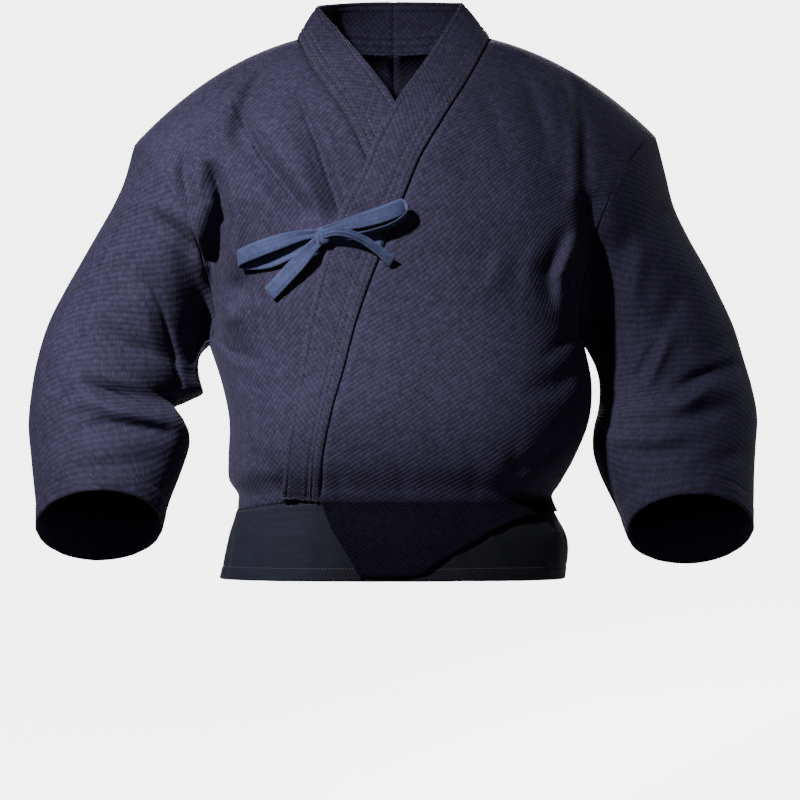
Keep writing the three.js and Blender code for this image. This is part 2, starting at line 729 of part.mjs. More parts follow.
function tapeGeometry(rows) {
  const steps = (rows.length - 1) * 2;
  const stations = rows.map((row, i) => ({ ...row, at: i }));
  const outer = [[], []];
  const inner = [[], []];
  const middle = [];
  const sides = [];
  const widths = [];
  for (let i = 0; i <= steps; i += 1) {
    const value = (column) => read(stations, "at", i / 2, column);
    const { point, normal } = onFront(value("x"), value("z"), value("lift"));
    const lean = THREE.MathUtils.degToRad(value("lean"));
    const edgeOn = (value("face") * Math.PI) / 2;
    const flat = new THREE.Vector3(Math.cos(lean), 0, Math.sin(lean));
    flat.addScaledVector(normal, -flat.dot(normal)).normalize();
    sides.push(flat.multiplyScalar(Math.cos(edgeOn)).addScaledVector(normal, Math.sin(edgeOn)));
    middle.push(point);
    widths.push(value("wide"));
  }
  middle.forEach((point, i) => {
    const way = middle[Math.min(i + 1, steps)].clone().sub(middle[Math.max(i - 1, 0)]);
    const through = way.cross(sides[i]).setLength(TAPE_WALL / 2);
    const wide = sides[i].clone().setLength(widths[i] / 2);
    outer[0].push(point.clone().sub(wide).add(through));
    outer[1].push(point.clone().add(wide).add(through));
    inner[0].push(point.clone().sub(wide).sub(through));
    inner[1].push(point.clone().add(wide).sub(through));
  });
  return wallGeometry(outer, inner, false);
}

function knotGeometry(grow) {
  const { point, normal } = onFront(KNOT.x, KNOT.z, KNOT.lift);
  const ball = new THREE.IcosahedronGeometry(1, 3);
  const place = ball.attributes.position;
  const up = new THREE.Vector3(0, 0, 1).addScaledVector(normal, -normal.z).normalize();
  const across = up.clone().cross(normal).normalize();
  for (let i = 0; i < place.count; i += 1) {
    const p = new THREE.Vector3().fromBufferAttribute(place, i);
    const square = (value) => Math.sign(value) * Math.abs(value) ** 0.8;
    const spot = point.clone();
    spot.addScaledVector(across, square(p.x) * (KNOT.across + grow));
    spot.addScaledVector(normal, square(p.y) * (KNOT.deep + grow));
    spot.addScaledVector(up, square(p.z) * (KNOT.up + grow));
    place.setXYZ(i, spot.x, spot.y, spot.z);
  }
  ball.deleteAttribute("normal");
  ball.deleteAttribute("uv");
  return facingOut(mergeVertices(ball, 0.001));
}

const wasm = await Module();
wasm.setup();

function solid(geometry) {
  return new wasm.Manifold(new wasm.Mesh({
    numProp: 3,
    vertProperties: new Float32Array(geometry.attributes.position.array),
    triVerts: new Uint32Array(geometry.index.array),
  }));
}

// The largest body that is left of one solid when others are cut away
function cutBy(geometry, tools) {
  let rest = solid(geometry);
  for (const tool of tools) rest = rest.subtract(solid(tool));
  const bodies = rest.decompose().sort((a, b) => b.volume() - a.volume());
  const mesh = bodies[0].getMesh();
  const result = new THREE.BufferGeometry();
  result.setAttribute("position", new THREE.Float32BufferAttribute(mesh.vertProperties, 3));
  result.setIndex([...mesh.triVerts]);
  result.computeVertexNormals();
  return result;
}

bodyPanel("right");
bodyPanel("left");
sleeve("right");
sleeve("left");
collar("right");
collar("left");
skirtPanel("skirt_front_right", () => UNDERLAP_X, rightSide, true, () => 0);
skirtPanel("skirt_front_left", cornerX, leftSide, true, skirtLift);
skirtPanel("skirt_back", leftSide, rightSide, false, () => 0);
addPiece("bow_knot", knotGeometry(0), TIE_BLUE, 0.8);
const knotRoom = knotGeometry(SEAM_GAP);
for (const [name, rows] of Object.entries(TAPES)) {
  addPiece(name, cutBy(tapeGeometry(rows), [knotRoom]), TIE_BLUE, 0.8);
}

export default jacket;
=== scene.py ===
import math

import bpy
import numpy as np
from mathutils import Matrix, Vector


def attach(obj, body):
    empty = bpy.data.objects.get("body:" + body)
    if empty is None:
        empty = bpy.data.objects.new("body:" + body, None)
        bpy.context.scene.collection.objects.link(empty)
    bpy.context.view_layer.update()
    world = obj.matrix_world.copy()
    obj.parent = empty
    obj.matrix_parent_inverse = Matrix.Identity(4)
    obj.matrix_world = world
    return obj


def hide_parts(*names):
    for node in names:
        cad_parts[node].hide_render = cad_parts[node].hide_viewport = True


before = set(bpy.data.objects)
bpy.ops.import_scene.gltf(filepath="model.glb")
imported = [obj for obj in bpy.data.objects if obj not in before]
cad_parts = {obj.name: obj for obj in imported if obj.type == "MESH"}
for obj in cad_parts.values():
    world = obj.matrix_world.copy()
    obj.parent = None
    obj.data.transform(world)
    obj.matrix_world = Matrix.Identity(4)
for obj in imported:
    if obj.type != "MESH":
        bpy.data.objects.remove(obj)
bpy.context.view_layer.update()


# View
# The jacket is seen from the front, level with its middle, as in the photograph.
# A pale sweep stands behind it, the main light is high on the viewer's left, and the right is in shade.
FRAME_WIDTH = 0.84
CAMERA_PLACE = (0.007, -6.0, -0.378)
SWEEP_FLOOR = -0.95
SWEEP_BACK = 1.6
SWEEP_HALF_WIDTH = 6.0
SWEEP_FRONT, SWEEP_TOP = -9, 4.5
PAPER_GLOW = 5.0
ROOM_SEEN, ROOM_LIGHT = 1.7, 0.05

camera_data = bpy.data.cameras.new("camera")
camera_data.lens = camera_data.sensor_width * -CAMERA_PLACE[1] / FRAME_WIDTH
camera_data.clip_end = 60
camera = bpy.data.objects.new("camera", camera_data)
camera.location = CAMERA_PLACE
camera.rotation_euler = (math.pi / 2, 0, 0)
bpy.context.scene.collection.objects.link(camera)
bpy.context.scene.camera = camera


def lamp(name, kind, place, towards, power, colour, **settings):
    """A lamp that faces a point."""
    data = bpy.data.lights.new(name, kind)
    data.energy = power
    data.color = colour
    for key, value in settings.items():
        setattr(data, key, value)
    made = bpy.data.objects.new(name, data)
    made.location = place
    way = Vector(towards) - Vector(place)
    made.rotation_euler = way.to_track_quat("-Z", "Y").to_euler()
    bpy.context.scene.collection.objects.link(made)


lamp("key_light", "SPOT", (-1.736, -2.504, 1.673), (-0.11, 0, -0.34), 1520, (1.0, 0.98, 0.97),
     spot_size=math.radians(16.4), spot_blend=1.0, shadow_soft_size=0.12)
lamp("fill_light", "AREA", (0.0, -3.8, 0.4), (0, 0, -0.3), 8, (0.9, 0.92, 1.0), size=1.2)
lamp("edge_light", "AREA", (2.2, 1.0, 1.6), (0.2, 0, -0.3), 4, (0.92, 0.95, 1.0), size=0.6)
lamp("back_light", "AREA", (0.1, 3.4, 1.6), (0, 0, -0.3), 240, (1.0, 0.99, 0.98), size=1.5)
lamp("side_light", "AREA", (3.1, 1.9, 0.5), (0, 0, -0.3), 40, (0.95, 0.97, 1.0), size=1.2)


def material(name):
    """A new material, its node tree and its Principled node."""
    made = bpy.data.materials.new(name)
    made.use_nodes = True
    return made, made.node_tree, made.node_tree.nodes["Principled BSDF"]


def fill(tree, made, inputs):
    """Sets or links a node's inputs by name or number."""
    for key, value in inputs.items():
        socket = made.inputs[key]
        if isinstance(value, bpy.types.NodeSocket):
            tree.links.new(value, socket)
        else:
            socket.default_value = value


def node(tree, kind, inputs=None, **settings):
    """A node with its settings, and its inputs set or linked."""
    made = tree.nodes.new(kind)
    for key, value in settings.items():
        setattr(made, key, value)
    fill(tree, made, inputs or {})
    return made


def maths(tree, operation, *values, **settings):
    """Output of a Math node, with its values in order."""
    return node(tree, "ShaderNodeMath", dict(enumerate(values)), operation=operation,
                **settings).outputs[0]


def studio():
    """A pale room whose own light is weak."""
    world = bpy.data.worlds.new("studio")
    bpy.context.scene.world = world
    world.use_nodes = True
    tree = world.node_tree
    seen = node(tree, "ShaderNodeLightPath").outputs["Is Camera Ray"]
    strength = maths(tree, "MULTIPLY_ADD", seen, ROOM_SEEN, ROOM_LIGHT)
    fill(tree, tree.nodes["Background"], {"Color": (0.9, 0.93, 1.0, 1), "Strength": strength})


def sweep():
    """Floor and wall in one curved sheet of pale paper, which only shows from its front."""
    turn = np.linspace(0, math.pi / 2, 13)
    y = np.concatenate([[SWEEP_FRONT], SWEEP_BACK - 1 + np.sin(turn), [SWEEP_BACK]])
    z = np.concatenate([[SWEEP_FLOOR], SWEEP_FLOOR + 1 - np.cos(turn), [SWEEP_TOP]])
    points = [(x, a, b) for a, b in zip(y, z) for x in (-SWEEP_HALF_WIDTH, SWEEP_HALF_WIDTH)]
    faces = [(2 * k, 2 * k + 1, 2 * k + 3, 2 * k + 2) for k in range(len(y) - 1)]
    mesh = bpy.data.meshes.new("backdrop")
    mesh.from_pydata(points, [], faces)
    mesh.shade_smooth()
    paper, tree, shader = material("pale_paper")
    seen = node(tree, "ShaderNodeLightPath").outputs["Is Camera Ray"]
    behind = node(tree, "ShaderNodeNewGeometry").outputs["Backfacing"]
    fill(tree, shader, {
        "Base Color": (0.85, 0.85, 0.86, 1), "Roughness": 1.0, "Emission Color": (1, 1, 1, 1),
        "Emission Strength": maths(tree, "MULTIPLY", seen, PAPER_GLOW),
        "Alpha": maths(tree, "SUBTRACT", 1.0, behind),
    })
    mesh.materials.append(paper)
    backdrop = bpy.data.objects.new("backdrop", mesh)
    bpy.context.scene.collection.objects.link(backdrop)
    backdrop.visible_diffuse = False
    backdrop.visible_shadow = False


studio()
sweep()


# Body panels
# Each is one length of rice-grain cotton from the front waist over the shoulder to the back waist.
# The left one closes over the right and ends in a corner that hangs free. Sizes are in millimetres.
MM = 0.001
SASHIKO_WALL = 2.4
SEAM_GAP = 0.3
# How far the left front lies over the right, and the heights and widths over which that fades
LAP_LIFT, LAP_FADES_UP, LAP_FADES_OUT = 5.4, (-12, -82), (186, 128)
CORNER_LIFT = 4
LEFT_SKIRT_LIFT, SKIRT_LIFT_FADES = 2.8, (150, 90)
NECK_HALF_WIDTH = 101
# The body's sections are rounder than an ellipse by this power
ROUNDNESS = 2 / 2.6
STEEPNESS = 1 / ROUNDNESS
SIDE_SIGN = {"right": -1, "left": 1}
SHOULDER_FALL = 2.4
# Rows of the body's grid, from the front hem over the shoulder to the back hem
FRONT_HEM_ROW, WAIST_ROW, ARMPIT_ROW, RIDGE_ROW = -2, 0, 4, 11
BACK_ARMPIT_ROW, BACK_WAIST_ROW, BACK_HEM_ROW = 18, 22, 24
NAPE_ROW = 12.6
ROW_HEIGHT = 40
HALF_SEAM_ROW = SEAM_GAP / 2 / ROW_HEIGHT


def table(columns, rows):
    """A table as one array for each named column."""
    return dict(zip(columns.split(), np.array(rows, float).T))


def read(rows, by, value, column):
    """Smooth reading of a column at values of another column, which rises."""
    x, y = rows[by], rows[column]
    k = np.arange(len(x))
    before, after = np.maximum(k - 1, 0), np.minimum(k + 1, len(x) - 1)
    slope = (y[after] - y[before]) / (x[after] - x[before])
    at = np.clip(value, x[0], x[-1])
    i = np.clip(np.searchsorted(x, at, side="right") - 1, 0, len(x) - 2)
    span = x[i + 1] - x[i]
    t = (at - x[i]) / span
    rise = t * t * (3 - 2 * t)
    bend = span * t * (1 - t) * (slope[i] * (1 - t) - slope[i + 1] * t)
    return y[i] * (1 - rise) + y[i + 1] * rise + bend


def smooth(start, end, value):
    """A soft step from 0 at the start to 1 at the end."""
    t = np.clip((value - start) / (end - start), 0, 1)
    return t * t * (3 - 2 * t)


def bell(distance, width):
    """A soft bump that is 1 at no distance."""
    return np.exp(-((distance / width) ** 2))


def unit(vectors):
    """The same directions, one long."""
    return vectors / np.maximum(np.linalg.norm(vectors, axis=-1, keepdims=True), 1e-9)


MIDDLE = table("row y z", [
    (-2, -139, -564), (-1, -133, -522), (0, -125, -480), (1, -149, -440), (2, -157, -398),
    (3, -152, -345), (4, -141, -279), (5, -131, -198), (6, -121, -130), (7, -109, -88),
    (8, -91, -60), (9, -67, -36), (10, -36, -10), (11, 0, 12), (12, 50, 2),
    (13, 90, -22), (14, 110, -52), (15, 121, -88), (16, 126, -132), (17, 126, -200),
    (18, 122, -279), (19, 117, -345), (20, 115, -398), (21, 111, -440), (22, 98, -480),
    (23, 103, -522), (24, 108, -564),
])
SIDES = table("z right left", [
    (-564, -182, 180), (-522, -173, 182), (-480, -162, 163), (-462, -172, 176),
    (-440, -173, 189), (-400, -172, 205), (-360, -180, 208), (-318, -194, 200),
])
ARMHOLE_DEPTH, ARMHOLE_RISE = 86, 13
ARMHOLES = {
    "right": {"top": (-272, -110), "under": (-194, -318), "bow": 25},
    "left": {"top": (276, -102), "under": (200, -318), "bow": -25},
}
FOLD = "x1 z1 x2 z2 x3 z3 width height start end"
FRONT_FOLDS = table(FOLD, [
    (-100, -61, -75, -122, -55, -183, 8, -6, 0.2, 1),
    (-163, -74, -135, -127, -91, -184, 11, -6, 0.2, 0.8),
    (-128, -66, -104, -128, -74, -188, 12, 3, 0, 0.6),
    (-190, -300, -166, -322, -138, -346, 10, -6, 0.8, 0),
    (-184, -270, -170, -292, -140, -318, 13, 5, 0.8, 0),
    (-192, -140, -180, -175, -184, -235, 11, -8, 0.3, 0.6),
    (118, -14, 134, -42, 170, -131, 15, -6, 0.2, 0),
    (150, -34, 164, -80, 180, -150, 13, 5, 0.2, 0),
    (176, -207, 158, -248, 161, -286, 9, -6, 0.6, 0),
])
BACK_FOLDS = table(FOLD, [
    (-178, -150, -150, -205, -128, -290, 15, -6, 0.3, 0),
    (-150, -120, -124, -185, -104, -270, 16, 4, 0, 0),
    (182, -146, 156, -208, 138, -300, 15, -6, 0.3, 0),
    (150, -112, 128, -180, 112, -262, 16, 4, 0, 0),
    (-150, -400, -90, -418, -28, -410, 12, -5, 0, 0),
    (40, -406, 92, -420, 160, -398, 12, -5, 0, 0),
])
# Smaller creases beside the main folds
FRONT_CREASES = table(FOLD, [
    (-99, -60, -75, -122, -55, -183, 3, -6.5, 0.3, 1),
    (-106, -64, -83, -124, -62, -184, 10, -5, 0.2, 1),
    (-89, -62, -64, -120, -46, -178, 7, 2.4, 0, 0.9),
    (-163, -74, -135, -127, -91, -184, 3, -6, 0.4, 1),
    (-170, -80, -142, -133, -97, -188, 10, -4.4, 0.4, 0.9),
    (-151, -66, -123, -118, -82, -176, 8, 2, 0, 0.7),
    (-129, -24, -148, -62, -160, -104, 12, -12, 0.1, 0.6),
    (-141, -92, -118, -138, -80, -190, 3, -1.6, 0, 0.8),
    (-172, -150, -166, -196, -170, -262, 12, 4.5, 0, 0.2),
    (-216, -112, -217, -142, -210, -176, 6, -5, 0.2, 0.4),
    (-228, -120, -232, -156, -226, -182, 7, 3, 0, 0),
    (-204, -118, -200, -146, -203, -172, 6, 3, 0, 0.2),
    (-194, -306, -168, -328, -132, -340, 3.5, -6, 0.9, 0),
    (-197, -300, -166, -292, -134, -280, 10, 6, 0.9, 0),
    (-188, -262, -162, -262, -134, -256, 12, -4.5, 0.6, 0),
    (-176, -330, -160, -352, -132, -372, 9, -2.4, 0.3, 0),
    (-205, -96, -172, -122, -140, -165, 13, -2.6, 0, 0),
    (118, -14, 136, -44, 166, -124, 8, -2.6, 0.2, 0),
    (176, -34, 187, -95, 189, -168, 8, 5, 0.2, 0.4),
    (188, -210, 172, -250, 174, -294, 6, 4, 0.5, 0),
    (150, -226, 132, -254, 118, -290, 14, -1.3, 0, 0),
    (116, -222, 104, -246, 98, -272, 10, 2, 0, 0),
    (148, -214, 138, -240, 136, -276, 8, 2, 0, 0),
    (-150, -452, -132, -462, -104, -468, 7, -2.4, 0.2, 0),
    (-168, -418, -140, -440, -120, -446, 9, -2.2, 0, 0),
    (-64, -410, -56, -444, -52, -478, 7, -1.2, 0, 0.6),
    (4, -424, 10, -452, 6, -479, 9, -0.8, 0, 0.6),
    (74, -406, 84, -442, 80, -479, 9, -1.0, 0, 0.6),
    (128, -400, 122, -440, 130, -480, 8, -1.2, 0, 0.6),
    (182, -410, 150, -438, 104, -452, 9, -3.2, 0.5, 0),
    (196, -340, 168, -362, 128, -372, 12, -3.4, 0.5, 0),
    (196, -300, 176, -318, 150, -340, 8, -3, 0.4, 0),
    (60, -120, 88, -158, 128, -182, 16, -2, 0, 0),
    (38, -190, 64, -214, 92, -226, 12, 1.6, 0, 0),
    (88, -60, 104, -92, 120, -132, 9, -2.2, 0, 0),
    (-90, -330, -96, -380, -104, -430, 16, -2, 0, 0),
])
BACK_CREASES = table(FOLD, [
    (-70, -60, -40, -92, 6, -112, 14, -2, 0, 0),
    (74, -64, 44, -98, 18, -122, 12, -1.8, 0, 0),
    (-196, -200, -182, -232, -168, -300, 9, -3.5, 0.4, 0),
    (204, -196, 186, -236, 172, -306, 9, -3.5, 0.4, 0),
    (-6, -180, 4, -250, -8, -330, 18, 1.8, 0, 0),
    (-60, -240, -44, -310, -50, -372, 14, -2, 0, 0),
    (66, -250, 58, -312, 64, -380, 15, -2.2, 0, 0),
    (-120, -440, -112, -460, -116, -480, 6, -2, 0, 0.8),
    (-70, -444, -64, -462, -68, -480, 5, -1.8, 0, 0.8),
    (-18, -450, -14, -464, -16, -480, 5, -1.6, 0, 0.8),
    (34, -446, 30, -464, 36, -480, 5, -1.8, 0, 0.8),
    (84, -440, 90, -460, 86, -480, 6, -2, 0, 0.8),
    (132, -444, 126, -462, 130, -480, 5, -1.6, 0, 0.8),
])
# The deep folds where the sleeves meet the chest, which run across the armhole seams
ARMPIT_FOLDS = table(FOLD, [
    (-190, -130, -179, -160, -177, -188, 6, -20, 0.1, 0.6),
    (-178, -194, -187, -234, -191, -290, 12, -34, 0.6, 0.8),
    (-192, -296, -196, -318, -200, -345, 12, -24, 0.6, 0.3),
    (-246, -186, -220, -208, -194, -230, 6, -20, 0.3, 0.7),
    (-240, -174, -213, -194, -192, -214, 9, 6, 0.3, 0.4),
    (187, -28, 197, -92, 200, -172, 8, -7, 0.3, 0.6),
    (204, -178, 210, -230, 214, -300, 13, -32, 0.5, 0.7),
    (214, -304, 215, -325, 212, -348, 12, -20, 0.6, 0.3),
])
CREASE_STRENGTH = 1.35


def folded(folds, x, z):
    """Height that all folds of a table add at places of the front or back view."""
    total = np.zeros(np.shape(x))
    for k in range(len(folds["x1"])):
        f = {name: column[k] for name, column in folds.items()}
        spans = ((f["x1"], f["z1"], f["x2"], f["z2"], 0), (f["x2"], f["z2"], f["x3"], f["z3"], 0.5))
        best = np.full(np.shape(x), np.inf)
        along = np.zeros(np.shape(x))
        for ax, az, bx, bz, begin in spans:
            dx, dz = bx - ax, bz - az
            t = np.clip(((x - ax) * dx + (z - az) * dz) / (dx * dx + dz * dz), 0, 1)
            gap = np.hypot(x - ax - t * dx, z - az - t * dz)
            along = np.where(gap < best, begin + t / 2, along)
            best = np.minimum(gap, best)
        ends = f["start"] * (1 - along) + f["end"] * along
        middle = 4 * along * (1 - along) * (1 - (f["start"] + f["end"]) / 2)
        total += f["height"] * bell(best, f["width"]) * (ends + middle)
    return total


def armpit_folded(x, y, z):
    """How far the deep folds push the front of the chest or of a sleeve."""
    return folded(ARMPIT_FOLDS, x, z) * smooth(0, 30, -y)


def in_armhole(row):
    """Whether a row of the body's side lies on the armhole."""
    return (row > ARMPIT_ROW) & (row < BACK_ARMPIT_ROW)


def armhole_point(side, row):
    """Points of an armhole's seam, from the front of the armpit over the shoulder."""
    hole = ARMHOLES[side]
    angle = math.pi * (RIDGE_ROW - row) / (RIDGE_ROW - ARMPIT_ROW)
    half, depth = (1 + np.cos(angle)) / 2, np.sin(angle)
    x = hole["under"][0] + (hole["top"][0] - hole["under"][0]) * half + hole["bow"] * abs(depth)
    z = hole["under"][1] + (hole["top"][1] - hole["under"][1]) * half + ARMHOLE_RISE * abs(depth)
    return np.stack([x, -ARMHOLE_DEPTH * depth, z], -1)


def side_point(side, row):
    """Points of the body's edge: the side seam, and the armhole above it."""
    z = read(MIDDLE, "row", row, "z")
    top, hem = read(MIDDLE, "row", ARMPIT_ROW, "z"), read(MIDDLE, "row", FRONT_HEM_ROW, "z")
    level = hem + (z - hem) * (ARMHOLES[side]["under"][1] - hem) / (top - hem)
    seam = np.stack([read(SIDES, "z", level, side), 0 * level, level], -1)
    return np.where(in_armhole(row)[..., None], armhole_point(side, row), seam)


def body_point(turn, row, creases=True):
    """Points of the body. Turn runs across, from -90 degrees at the jacket's right side to 90."""
    turn, row = np.broadcast_arrays(np.asarray(turn, float), np.asarray(row, float))
    right = side_point("right", row)
    edge = np.where((turn < 0)[..., None], right, side_point("left", row))
    across = np.abs(np.sin(turn)) ** ROUNDNESS
    deep = np.maximum(np.cos(turn), 0) ** ROUNDNESS
    middle_y, middle_z = read(MIDDLE, "row", row, "y"), read(MIDDLE, "row", row, "z")
    x = edge[..., 0] * across
    y = edge[..., 1] + (middle_y - edge[..., 1]) * deep
    z = middle_z + (edge[..., 2] - middle_z) * across ** SHOULDER_FALL
    front, back = folded(FRONT_FOLDS, x, z), folded(BACK_FOLDS, x, z)
    ease = smooth(0, 0.25, deep) * smooth(0, 1.5, np.abs(row - RIDGE_ROW))
    armpit = 0
    if creases:
        front = front + folded(FRONT_CREASES, x, z) * CREASE_STRENGTH
        back = back + folded(BACK_CREASES, x, z) * CREASE_STRENGTH
        armpit = armpit_folded(x, y, z)
    y = y + np.where(row < RIDGE_ROW, -front, back) * ease - armpit
    return np.stack([x, y, z], -1)


def body_normal(turn, row):
    """Ways that the uncreased body faces."""
    quarter = math.pi / 2
    across = body_point(np.minimum(turn + 0.01, quarter), row, False)
    across = across - body_point(np.maximum(turn - 0.01, -quarter), row, False)
    along = body_point(turn, np.minimum(row + 0.05, BACK_HEM_ROW), False)
    along = along - body_point(turn, np.maximum(row - 0.05, FRONT_HEM_ROW), False)
    return unit(np.cross(across, along))


def turn_at(x, row):
    """Turn of the body's points at a place across."""
    x, row = np.broadcast_arrays(np.asarray(x, float), np.asarray(row, float))
    edge = np.where(x < 0, side_point("right", row)[..., 0], side_point("left", row)[..., 0])
    return np.sign(x) * np.arcsin(np.minimum(np.abs(x / edge), 1) ** STEEPNESS)


def halve(low, high, below):
    """The value between low and high where below stops being true."""
    for _ in range(40):
        middle = (low + high) / 2
        under = below(middle)
        low, high = np.where(under, middle, low), np.where(under, high, middle)
    return (low + high) / 2


def front_row_at(x, z):
    """Row of the front's points at places of the front view."""
    low = np.full(np.shape(x), float(FRONT_HEM_ROW))
    high = np.full(np.shape(x), float(RIDGE_ROW))
    return halve(low, high, lambda row: body_point(turn_at(x, row), row, False)[..., 2] < z)


# The collar seams in the front view, which the panels' inner edges follow
COLLAR = "seam_z seam_x edge_x edge_z"
OVER_COLLAR = table(COLLAR, [
    (-478.5, -75, -114, -478.5), (-435, -72, -108, -433), (-388, -62, -100, -385),
    (-345, -50, -92, -338), (-302, -39, -84, -292), (-262, -26, -75, -249),
    (-226, -12, -63, -209), (-190, 2, -47, -171), (-163, 13, -33, -145),
    (-127, 28, -17, -108), (-90, 50, 7, -64), (-49, 75, 33, -25), (2, 101, 72, 39),
])
UNDER_COLLAR = table(COLLAR, [
    (-478.5, 77, 116, -478.5), (-435, 72, 109, -433), (-388, 62, 101, -385),
    (-345, 50, 92, -338), (-302, 39, 84, -292), (-262, 26, 75, -249),
    (-226, 12, 63, -209), (-190, -2, 47, -171), (-163, -13, 33, -145),
    (-127, -28, 17, -108), (-94, -43, 0, -66), (-63, -62, -22, -34),
    (-30, -85, -46, -4), (2, -101, -80, 35),
])
COLLARS = {"right": UNDER_COLLAR, "left": OVER_COLLAR}
CORNER = table("z x", [(-564, -33), (-540, -46), (-510, -64), (-478.5, -75)])
CORNER_FOOT = table("x row", [
    (-80, -1.9), (-33, -1.9), (10, -1.62), (60, -1.15), (110, -0.62), (165, -0.12),
])


def inner_turn(side, row):
    """Turn of a panel's inner edge: the corner's edge, the collar seam, the neck or the back."""
    sign = SIDE_SIGN[side]
    row = np.asarray(row, float)

    def inside(turn):
        point = body_point(turn, row, False)
        x = np.where(row < WAIST_ROW, read(CORNER, "z", point[..., 2], "x"),
                     read(COLLARS[side], "seam_z", point[..., 2], "seam_x"))
        return point[..., 0] < x + sign * SEAM_GAP / 2

    front = halve(np.full(row.shape, -1.5), np.full(row.shape, 1.5), inside)
    back = np.clip((row - RIDGE_ROW) / (NAPE_ROW - RIDGE_ROW), 0, 1)
    neck_x = NECK_HALF_WIDTH * np.sqrt(1 - back * back) + SEAM_GAP / 2
    return np.where(row < RIDGE_ROW, front, turn_at(sign * neck_x, row))


def lap(x, z):
    """How far the left side lies over the right."""
    return LAP_LIFT * smooth(*LAP_FADES_UP, z) * smooth(*LAP_FADES_OUT, x)


def skirt_lift(x):
    """How far the left lower panel lies over the right one."""
    return LEFT_SKIRT_LIFT * smooth(*SKIRT_LIFT_FADES, x)


def grid_normals(points, away, wrapped=False):
    """Unit normals of a grid of points, on the side of a given direction."""
    if wrapped:
        across = np.roll(points, -1, 0) - np.roll(points, 1, 0)
    else:
        across = np.gradient(points, axis=0)
    normals = unit(np.cross(across, np.gradient(points, axis=1)))
    sign = np.sign(np.sum(normals * away, -1, keepdims=True).sum())
    return normals * (sign or 1)


def distances(points, axis):
    """Distance along the grid from its first row or column."""
    steps = np.linalg.norm(np.diff(points, axis=axis), axis=-1)
    start = np.zeros_like(np.take(steps, [0], axis=axis))
    return np.cumsum(np.concatenate([start, steps], axis=axis), axis=axis)


def wander(place, seed, wave):
    """An uneven wave between about -1 and 1."""
    turns = np.random.default_rng(seed).uniform(0, 6.28, 3)
    shares = ((1.0, 0.5), (1.73, 0.32), (0.41, 0.3))
    return sum(a * np.sin(6.283 * place * f / wave + p) for (f, a), p in zip(shares, turns))


def seam_shape(distance, place, dip, pucker, seed, reach=4, wave=11):
    """Fall of the cloth into a seam, with small puckers beside it."""
    ripple = pucker * wander(place, seed, wave) * bell(distance, 3 * reach)
    return ripple - dip * bell(distance, reach)


def rim_rings(last, along, wrapped):
    """Grid places round a cloth's rim: one ring, or one at each end of a tube."""
    top = along - 1
    forward, upward = np.arange(last + 1), np.arange(along)
    start = np.stack([forward, 0 * forward], -1)
    end = np.stack([forward[::-1], 0 * forward + top], -1)
    if wrapped:
        return [start, end]
    up = np.stack([0 * upward + last, upward], -1)
    down = np.stack([0 * upward, upward[::-1]], -1)
    return [np.concatenate([start, up[1:], end[1:], down[1:]])]


def wall(name, outer, normals, uv, thickness, wrapped=False, rim=0.35):
    """A closed cloth wall from a grid of outer points, with rounded edges."""
    across, along = outer.shape[:2]
    count = across * along
    inner = outer - normals * thickness
    ids = np.arange(count).reshape(across, along)
    if wrapped:
        ids = np.vstack([ids, ids[:1]])
    places = np.arange(ids.size).reshape(ids.shape)
    corners = [(slice(None, -1), slice(None, -1)), (slice(1, None), slice(None, -1)),
               (slice(1, None), slice(1, None)), (slice(None, -1), slice(1, None))]
    out = np.stack([ids[c].ravel() for c in corners], -1)
    out_uv = np.stack([places[c].ravel() for c in corners], -1)
    faces = [out, out[:, ::-1] + count]
    face_uv = [out_uv, out_uv[:, ::-1]]
    points = [outer.reshape(-1, 3), inner.reshape(-1, 3)]
    used = 2 * count
    for ring in rim_rings(len(ids) - 1, along, wrapped):
        i, j = ring[:-1, 0] % across, ring[:-1, 1]
        inside_i = i if wrapped else np.clip(i, 1, across - 2)
        inside = outer[inside_i, np.clip(j, 1, along - 2)]
        out_way = unit(outer[i, j] - inside)
        points.append((outer[i, j] + inner[i, j]) / 2 + out_way * rim * thickness)
        middle = used + np.arange(len(i) + 1) % len(i)
        used += len(i)
        edge, place = ids[ring[:, 0], ring[:, 1]], places[ring[:, 0], ring[:, 1]]
        faces.append(np.stack([edge[1:], edge[:-1], middle[:-1], middle[1:]], -1))
        faces.append(np.stack([middle[1:], middle[:-1], edge[:-1] + count, edge[1:] + count], -1))
        quad = np.stack([place[1:], place[:-1], place[:-1], place[1:]], -1)
        face_uv += [quad, quad]
    facing = np.cross(outer[1, 0] - outer[0, 0], outer[0, 1] - outer[0, 0])
    faces, face_uv = np.concatenate(faces), np.concatenate(face_uv)
    if np.dot(facing, normals[0, 0]) < 0:
        faces, face_uv = faces[:, ::-1], face_uv[:, ::-1]
    return plain_mesh(name, np.concatenate(points), faces, uv.reshape(-1, 2)[face_uv.ravel()])


def plain_mesh(name, points, faces, corner_uv):
    """An object in the row frame from points in millimetres."""
    mesh = bpy.data.meshes.new(name)
    mesh.from_pydata((points * MM).tolist(), [], faces.tolist())
    layer = mesh.uv_layers.new(name="cloth")
    layer.data.foreach_set("uv", (corner_uv * MM).astype(np.float32).ravel())
    mesh.shade_smooth()
    made = bpy.data.objects.new(name, mesh)
    bpy.context.scene.collection.objects.link(made)
    return made


def finish_piece(piece, look, nodes):
    """Gives a piece its material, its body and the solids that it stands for."""
    piece.data.materials.clear()
    piece.data.materials.append(look)
    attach(piece, "root")
    if nodes:
        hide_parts(*nodes)


